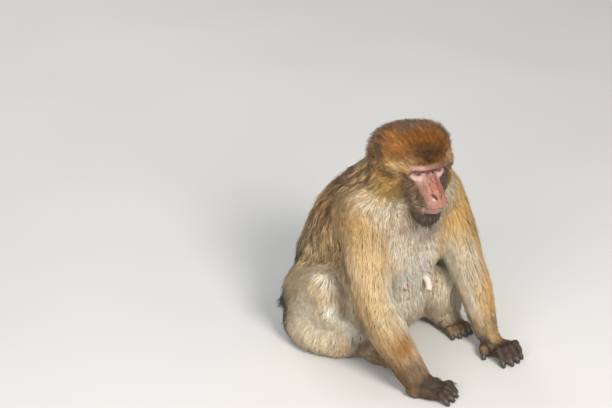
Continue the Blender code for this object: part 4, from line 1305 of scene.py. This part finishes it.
def build_locks(name, roots, normals):
    """One piece of the coat, as a single mesh of many locks."""
    shares, length, ways, feet, bends, tips, bend_normals = bend_locks(roots, normals)
    count = len(roots)
    width = by_part(WIDTH, shares) * chance.uniform(0.75, 1.2, count)
    width = np.minimum(width, length * 0.16)[:, None]
    lower = flat_on(normals, bends - feet)
    upper = flat_on(bend_normals, tips - bends)
    lower_side, upper_side = unit(np.cross(lower, normals)), unit(np.cross(upper, bend_normals))
    half, thick = width * 0.5, width * 0.38
    ring = [
        feet + normals * thick, feet + lower_side * half, feet - lower_side * half,
        bends + bend_normals * thick * 0.9,
        bends + upper_side * half * 0.85, bends - upper_side * half * 0.85,
        tips,
    ]
    points = np.stack(ring, 1)
    points[:, :, 2] = np.maximum(points[:, :, 2], 0.0003)
    faces = LOCK_FACES[None] + (np.arange(count) * 7)[:, None, None]
    mesh = mesh_from(name, points.reshape(-1, 3), faces.reshape(-1, 3))
    root, bend, tip = lock_colours(roots, normals, shares, ways)
    write_colours(mesh, np.stack([root] * 3 + [bend] * 3 + [tip], 1).reshape(-1, 3))
    lower_ring = [(0, 0), (0.0014, 0), (-0.0014, 0)]
    upper_ring = [(0, 0.0015), (0.0013, 0.0015), (-0.0013, 0.0015)]
    patch = np.array([*lower_ring, *upper_ring, (0, 0.003)])
    spots = map_of(roots)[:, None] + patch
    layer = mesh.uv_layers.new(name="OFBake")
    layer.data.foreach_set("uv", spots.reshape(-1, 2)[faces.reshape(-1)].astype(np.float32).ravel())
    mesh.shade_smooth()
    round_body = np.stack([normals] * 3 + [bend_normals] * 4, 1).reshape(-1, 3)
    soft = unit(round_body * 0.68 + read_points(mesh, "normal") * 0.32)
    mesh.normals_split_custom_set_from_vertices(soft.tolist())
    return link(name, mesh)


coat = {}
for name, (chosen, count) in COAT.items():
    count = count
    coat[name] = build_locks(name, *strew(chosen, count))
    print(name, "has", len(coat[name].data.polygons), "triangles")

# %% [markdown]
# ## Eyes and nails
# Each eye is a ball with a slight swell over the iris, as a cornea has. Its pole points along the gaze, so
# that the iris and pupil can be drawn as rings round that pole. The nails are narrow and arched, and one is
# modelled and copied to the tip of every finger and toe.

# %% Model the eyes
GAZE = {-1: Vector((-0.10, -1.0, -0.06)), 1: Vector((-0.02, -1.0, -0.06))}


def model_eye(side, word):
    deselect()
    bpy.ops.mesh.primitive_uv_sphere_add(segments=64, ring_count=48, radius=1.0, location=(0, 0, 0))
    eye = bpy.context.object
    eye.name = eye.data.name = "eyeball_" + word
    for vertex in eye.data.vertices:
        from_pole = math.degrees(math.acos(max(-1, min(1, vertex.co.z))))
        vertex.co *= EYE_RADIUS + 0.0005 * max(0.0, 1 - (from_pole / 38) ** 2)
    middle = HEAD @ Vector((side * EYE.x, EYE.y, EYE.z))
    gaze = (HEAD.to_3x3() @ GAZE[side]).to_track_quat("Z", "Y").to_matrix().to_4x4()
    eye.data.transform(Matrix.Translation(middle) @ gaze)
    eye.data.shade_smooth()
    return eye


eyes = {word: model_eye(side, word) for side, word in SIDES.items()}
print("eyes:", [eye.name for eye in eyes.values()])


# %% Model a nail and set twenty of them
def model_nail():
    """A nail with its root at the origin, growing along y, arched over x."""
    deselect()
    bpy.ops.mesh.primitive_grid_add(x_subdivisions=6, y_subdivisions=6, size=2.0, location=(0, 0, 0))
    nail = bpy.context.object
    for vertex in nail.data.vertices:
        x, y = vertex.co.x, vertex.co.y
        narrow = 1 - 0.28 * max(0.0, y) ** 2
        vertex.co = Vector((x * narrow * 0.78, y * 1.05, 0.62 - 0.62 * x * x - 0.16 * y * y - 0.14 * y))
    apply_modifier(nail, "SOLIDIFY", thickness=0.22, offset=0.0)
    apply_modifier(nail, "SUBSURF", levels=1)
    model = nail.data
    bpy.data.objects.remove(nail)
    return model


nail_model = model_nail()
nail_parts = {"hand": [], "foot": []}
for tip, way, radius, paw in TIPS:
    copy = nail_model.copy()
    ahead = way.normalized()
    across = ahead.cross(Vector((0, 0, 1))).normalized()
    over = across.cross(ahead).normalized()
    basis = Matrix((across, ahead, over)).transposed().to_4x4()
    spot = tip + ahead * radius * 0.12 + over * radius * 0.30
    copy.transform(Matrix.Translation(spot) @ basis @ Matrix.Scale(radius * 0.92, 4))
    nail_parts[paw.split("_")[0]].append(link("nail", copy))
nails = {}
for kind, parts in nail_parts.items():
    select_only(*parts)
    bpy.ops.object.join()
    nails[kind] = bpy.context.object
    nails[kind].name = nails[kind].data.name = "nails_of_" + ("hands" if kind == "hand" else "feet")
    nails[kind].data.shade_smooth()
bpy.data.meshes.remove(nail_model)
print("nails:", [len(nail.data.polygons) for nail in nails.values()])

# %% [markdown]
# ## Materials
# Every material is a small net of nodes. An output of a node is wrapped so that it can be added, multiplied
# and so on with numbers or with other outputs, and one method adds any node: its settings come first, then
# the values or outputs for its inputs in order. Colours are mixed by Mix nodes and placed by Vector Math.

# %% A short way to write node materials
class Wire:
    """An output of a node, with arithmetic."""

    def __init__(self, paint, socket):
        self.paint = paint
        self.socket = socket

    def maths(self, operation, *values):
        return self.paint.node("ShaderNodeMath", {"operation": operation}, *values)

    def __add__(self, other):
        return self.maths("ADD", self, other)

    def __mul__(self, other):
        return self.maths("MULTIPLY", self, other)

    def __sub__(self, other):
        return self.maths("SUBTRACT", self, other)

    def __rsub__(self, other):
        return self.maths("SUBTRACT", other, self)

    def __truediv__(self, other):
        return self.maths("DIVIDE", self, other)

    def __rtruediv__(self, other):
        return self.maths("DIVIDE", other, self)

    __radd__ = __add__
    __rmul__ = __mul__


class Paint:
    """A material with one shader, and one method that adds any node to it."""

    def __init__(self, name, **constants):
        self.material = bpy.data.materials.new(name)
        self.material.use_nodes = True
        self.tree = self.material.node_tree
        self.shader = self.tree.nodes["Principled BSDF"]
        for socket, value in constants.items():
            self.shader.inputs[socket.replace("_", " ")].default_value = value

    def put(self, socket, value):
        if isinstance(value, Wire):
            self.tree.links.new(value.socket, socket)
        else:
            socket.default_value = value

    def node(self, kind, settings, *values, output=None, **named):
        made = self.tree.nodes.new(kind)
        for name, value in settings.items():
            setattr(made, name, value)
        open_inputs = [socket for socket in made.inputs if socket.enabled]
        for socket, value in zip(open_inputs, values):
            self.put(socket, value)
        for name, value in named.items():
            self.put(next(s for s in open_inputs if s.name == name.replace("_", " ")), value)
        open_outputs = [socket for socket in made.outputs if socket.enabled]
        return Wire(self, made.outputs[output] if output else open_outputs[0])

    def shade(self, **inputs):
        for name, value in inputs.items():
            self.put(self.shader.inputs[name.replace("_", " ")], value)

    def marks(self):
        return self.node("ShaderNodeAttribute", {"attribute_name": "marks"}, output="Color")

    def place(self):
        return self.node("ShaderNodeTexCoord", {}, output="Object")

    def grain(self, size, detail=2.0):
        """Soft random figures from 0 to 1, in grains of about that size in metres."""
        named = {"Scale": 1.0 / size, "Detail": detail}
        return self.node("ShaderNodeTexNoise", {}, self.place(), output="Fac", **named)

    def span(self, value, start, end, low=0.0, high=1.0, smooth=True):
        """The value, mapped from one range to another and held inside it."""
        settings = {"interpolation_type": "SMOOTHSTEP" if smooth else "LINEAR"}
        return self.node("ShaderNodeMapRange", settings, value, start, end, low, high)

    def mix(self, how_much, first, second, how="MIX"):
        return self.node("ShaderNodeMix", {"data_type": "RGBA", "blend_type": how}, how_much, first, second)

    def scaled(self, colour, amount):
        """A colour made lighter or darker by an amount."""
        grey = self.node("ShaderNodeCombineXYZ", {}, amount, amount, amount)
        return self.node("ShaderNodeVectorMath", {"operation": "MULTIPLY"}, colour, grey)

    def bump(self, height, depth, strength=0.6):
        named = {"Strength": strength, "Distance": depth, "Height": height}
        return self.node("ShaderNodeBump", {}, output="Normal", **named)


print("ready to paint")


# %% Mix the materials
def fur_paint(name, gloss):
    """Hair: the markings with a fine unevenness, a soft sheen and no hard shine."""
    paint = Paint(name, Specular_IOR_Level=gloss, Sheen_Weight=0.04, Sheen_Roughness=0.5)
    fine = paint.span(paint.grain(0.0016), 0.25, 0.75, 0.84, 1.14, smooth=False)
    paint.shade(Base_Color=paint.scaled(paint.marks(), fine))
    paint.shade(Roughness=paint.span(fine, 0.84, 1.14, 0.62, 0.50))
    return paint.material


def skin_paint():
    """Bare skin: the markings, pores, a net of fine wrinkles and a little light let through."""
    paint = Paint("skin", Specular_IOR_Level=0.42, Subsurface_Weight=0.10, Subsurface_Scale=0.004)
    cells = {"feature": "F1"}
    net = paint.node("ShaderNodeTexVoronoi", cells, paint.place(), Scale=1 / 0.0011, output="Distance")
    blotch = paint.span(paint.grain(0.0045, 3.0), 0.30, 0.70, 0.86, 1.12, smooth=False)
    fine = paint.span(paint.grain(0.0009), 0.30, 0.70, 0.93, 1.06, smooth=False)
    paint.shade(Base_Color=paint.scaled(paint.marks(), blotch * fine))
    paint.shade(Roughness=paint.span(paint.grain(0.003), 0.3, 0.7, 0.46, 0.62))
    paint.shade(Normal=paint.bump(net * 0.7 + paint.grain(0.0035), 0.00035, 0.55))
    return paint.material


def eye_paint():
    """An eyeball: a dark pupil, an amber iris with fibres and a dark rim, and a brown white."""
    paint = Paint("eye", Roughness=0.10, Specular_IOR_Level=0.5, Coat_Weight=1.0, Coat_Roughness=0.02)
    map_ = paint.node("ShaderNodeUVMap", {"uv_map": "UVMap"})
    split = paint.tree.nodes.new("ShaderNodeSeparateXYZ")
    paint.put(split.inputs[0], map_)
    round_it, from_pole = Wire(paint, split.outputs["X"]), (1.0 - Wire(paint, split.outputs["Y"])) * 180.0
    fibre_at = paint.node("ShaderNodeCombineXYZ", {}, round_it * 46.0, from_pole * 0.05, 0.0)
    fibre = paint.node("ShaderNodeTexNoise", {}, fibre_at, Scale=1.0, Detail=2.0, output="Fac")
    iris = paint.mix(paint.span(fibre, 0.35, 0.65), (0.110, 0.029, 0.013, 1), (0.21, 0.066, 0.028, 1))
    iris = paint.mix(paint.span(from_pole, 27.0, 36.0), iris, (0.026, 0.009, 0.006, 1))
    iris = paint.mix(paint.span(from_pole, 18.0, 12.0), iris, (0.040, 0.014, 0.008, 1))
    ball = paint.mix(paint.span(from_pole, 35.0, 38.5), iris, (0.060, 0.038, 0.030, 1))
    ball = paint.mix(paint.span(from_pole, 11.0, 12.5), (0.004, 0.004, 0.004, 1), ball)
    paint.shade(Base_Color=ball)
    return paint.material


def nail_paint():
    """Dark horn with a faint, fine unevenness."""
    paint = Paint("nail", Specular_IOR_Level=0.5)
    tone = paint.span(paint.grain(0.0012), 0.3, 0.7)
    paint.shade(Base_Color=paint.mix(tone, (0.022, 0.018, 0.017, 1), (0.060, 0.050, 0.046, 1)))
    paint.shade(Roughness=paint.span(tone, 0.0, 1.0, 0.32, 0.48))
    return paint.material


def floor_paint():
    """A pale, matt studio floor."""
    paint = Paint("floor", Specular_IOR_Level=0.2)
    tone = paint.span(paint.grain(0.5, 1.0), 0.3, 0.7)
    paint.shade(Base_Color=paint.mix(tone, (0.60, 0.59, 0.57, 1), (0.62, 0.61, 0.59, 1)))
    paint.shade(Roughness=paint.span(tone, 0.0, 1.0, 0.85, 0.90))
    return paint.material


def dress(obj, material):
    obj.data.materials.clear()
    obj.data.materials.append(material)


SLOTS = {"head_fur": ("coat_crown", "coat_cheeks"),
         "body_fur": ("coat_shoulders", "coat_back", "coat_chest"),
         "limb_fur": ("coat_arm_right", "coat_arm_left", "coat_leg_right", "coat_leg_left", "coat_paws")}
for slot_name, names in SLOTS.items():
    fur = fur_paint(slot_name, 0.12)
    for name in names:
        dress(coat[name], fur)
dress(skin, skin_paint())
eye_material, nail_material = eye_paint(), nail_paint()
for eye in eyes.values():
    dress(eye, eye_material)
for nail in nails.values():
    dress(nail, nail_material)
print("materials:", [material.name for material in bpy.data.materials])

# %% [markdown]
# ## Join the animal to its construction model
# The skin stands for every solid of flesh and both ears, and each eyeball for its own solid. Nothing moves.

# %% Hide the solids and hang every piece from the root
for word, eye in eyes.items():
    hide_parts("eye_" + word)
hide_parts(*[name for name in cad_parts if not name.startswith("eye_")])
for piece in (skin, *eyes.values(), *nails.values(), *coat.values()):
    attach(piece, "root")
total = sum(len(piece.data.loop_triangles) or len(piece.data.polygons) for piece in coat.values())
print("triangles in the coat:", total)

# %% [markdown]
# ## Camera, floor and light
# The camera stands 3.4 m off, to the front and right of the animal and well above it. Its lens is long, so
# the proportions are calm. A pale floor takes the shadow, and large soft lights stand high in front.

# %% Set the camera
ROUND, ABOVE, DISTANCE = math.radians(45), math.radians(26), 3.4
back = Vector((-math.sin(ROUND) * math.cos(ABOVE), -math.cos(ROUND) * math.cos(ABOVE), math.sin(ABOVE)))
across = Vector((math.cos(ROUND), -math.sin(ROUND), 0))
up = back.cross(across)
target = at(*(across * -0.0897 + up * 0.2379))
camera_data = bpy.data.cameras.new("camera")
camera_data.lens, camera_data.sensor_width = 102.6, 36.0
camera = link("camera", camera_data)
looking = Matrix((across, up, back)).transposed().to_4x4()
camera.matrix_world = Matrix.Translation(target + back * DISTANCE) @ looking
bpy.context.scene.camera = camera
print("camera at", [round(v, 3) for v in camera.location])

# %% Lay the floor and set the lights
deselect()
bpy.ops.mesh.primitive_plane_add(size=16.0, location=(0, 0, 0))
floor = bpy.context.object
floor.name = "floor"
dress(floor, floor_paint())


def soft_light(name, place, size, power, colour):
    """A square lamp that faces the animal."""
    lamp = bpy.data.lights.new(name, "AREA")
    lamp.size, lamp.energy, lamp.color = size, power, colour
    obj = link(name, lamp)
    way = Vector(place) - Vector((0, 0, 0.2))
    obj.matrix_world = Matrix.Translation(place) @ way.to_track_quat("Z", "Y").to_matrix().to_4x4()
    return obj


soft_light("key", (-1.15, -3.1, 2.5), 1.3, 190, (1.0, 0.96, 0.89))
soft_light("fill", (-3.0, -1.0, 1.5), 2.0, 62, (0.96, 0.98, 1.0))
soft_light("rim", (0.5, 2.6, 2.4), 1.6, 30, (1.0, 0.97, 0.93))
world = bpy.data.worlds.new("studio")
bpy.context.scene.world = world
world.use_nodes = True
world.node_tree.nodes["Background"].inputs["Color"].default_value = (0.86, 0.90, 0.95, 1)
world.node_tree.nodes["Background"].inputs["Strength"].default_value = 0.50
bpy.context.scene.view_settings.view_transform = "Standard"
print("lights set")
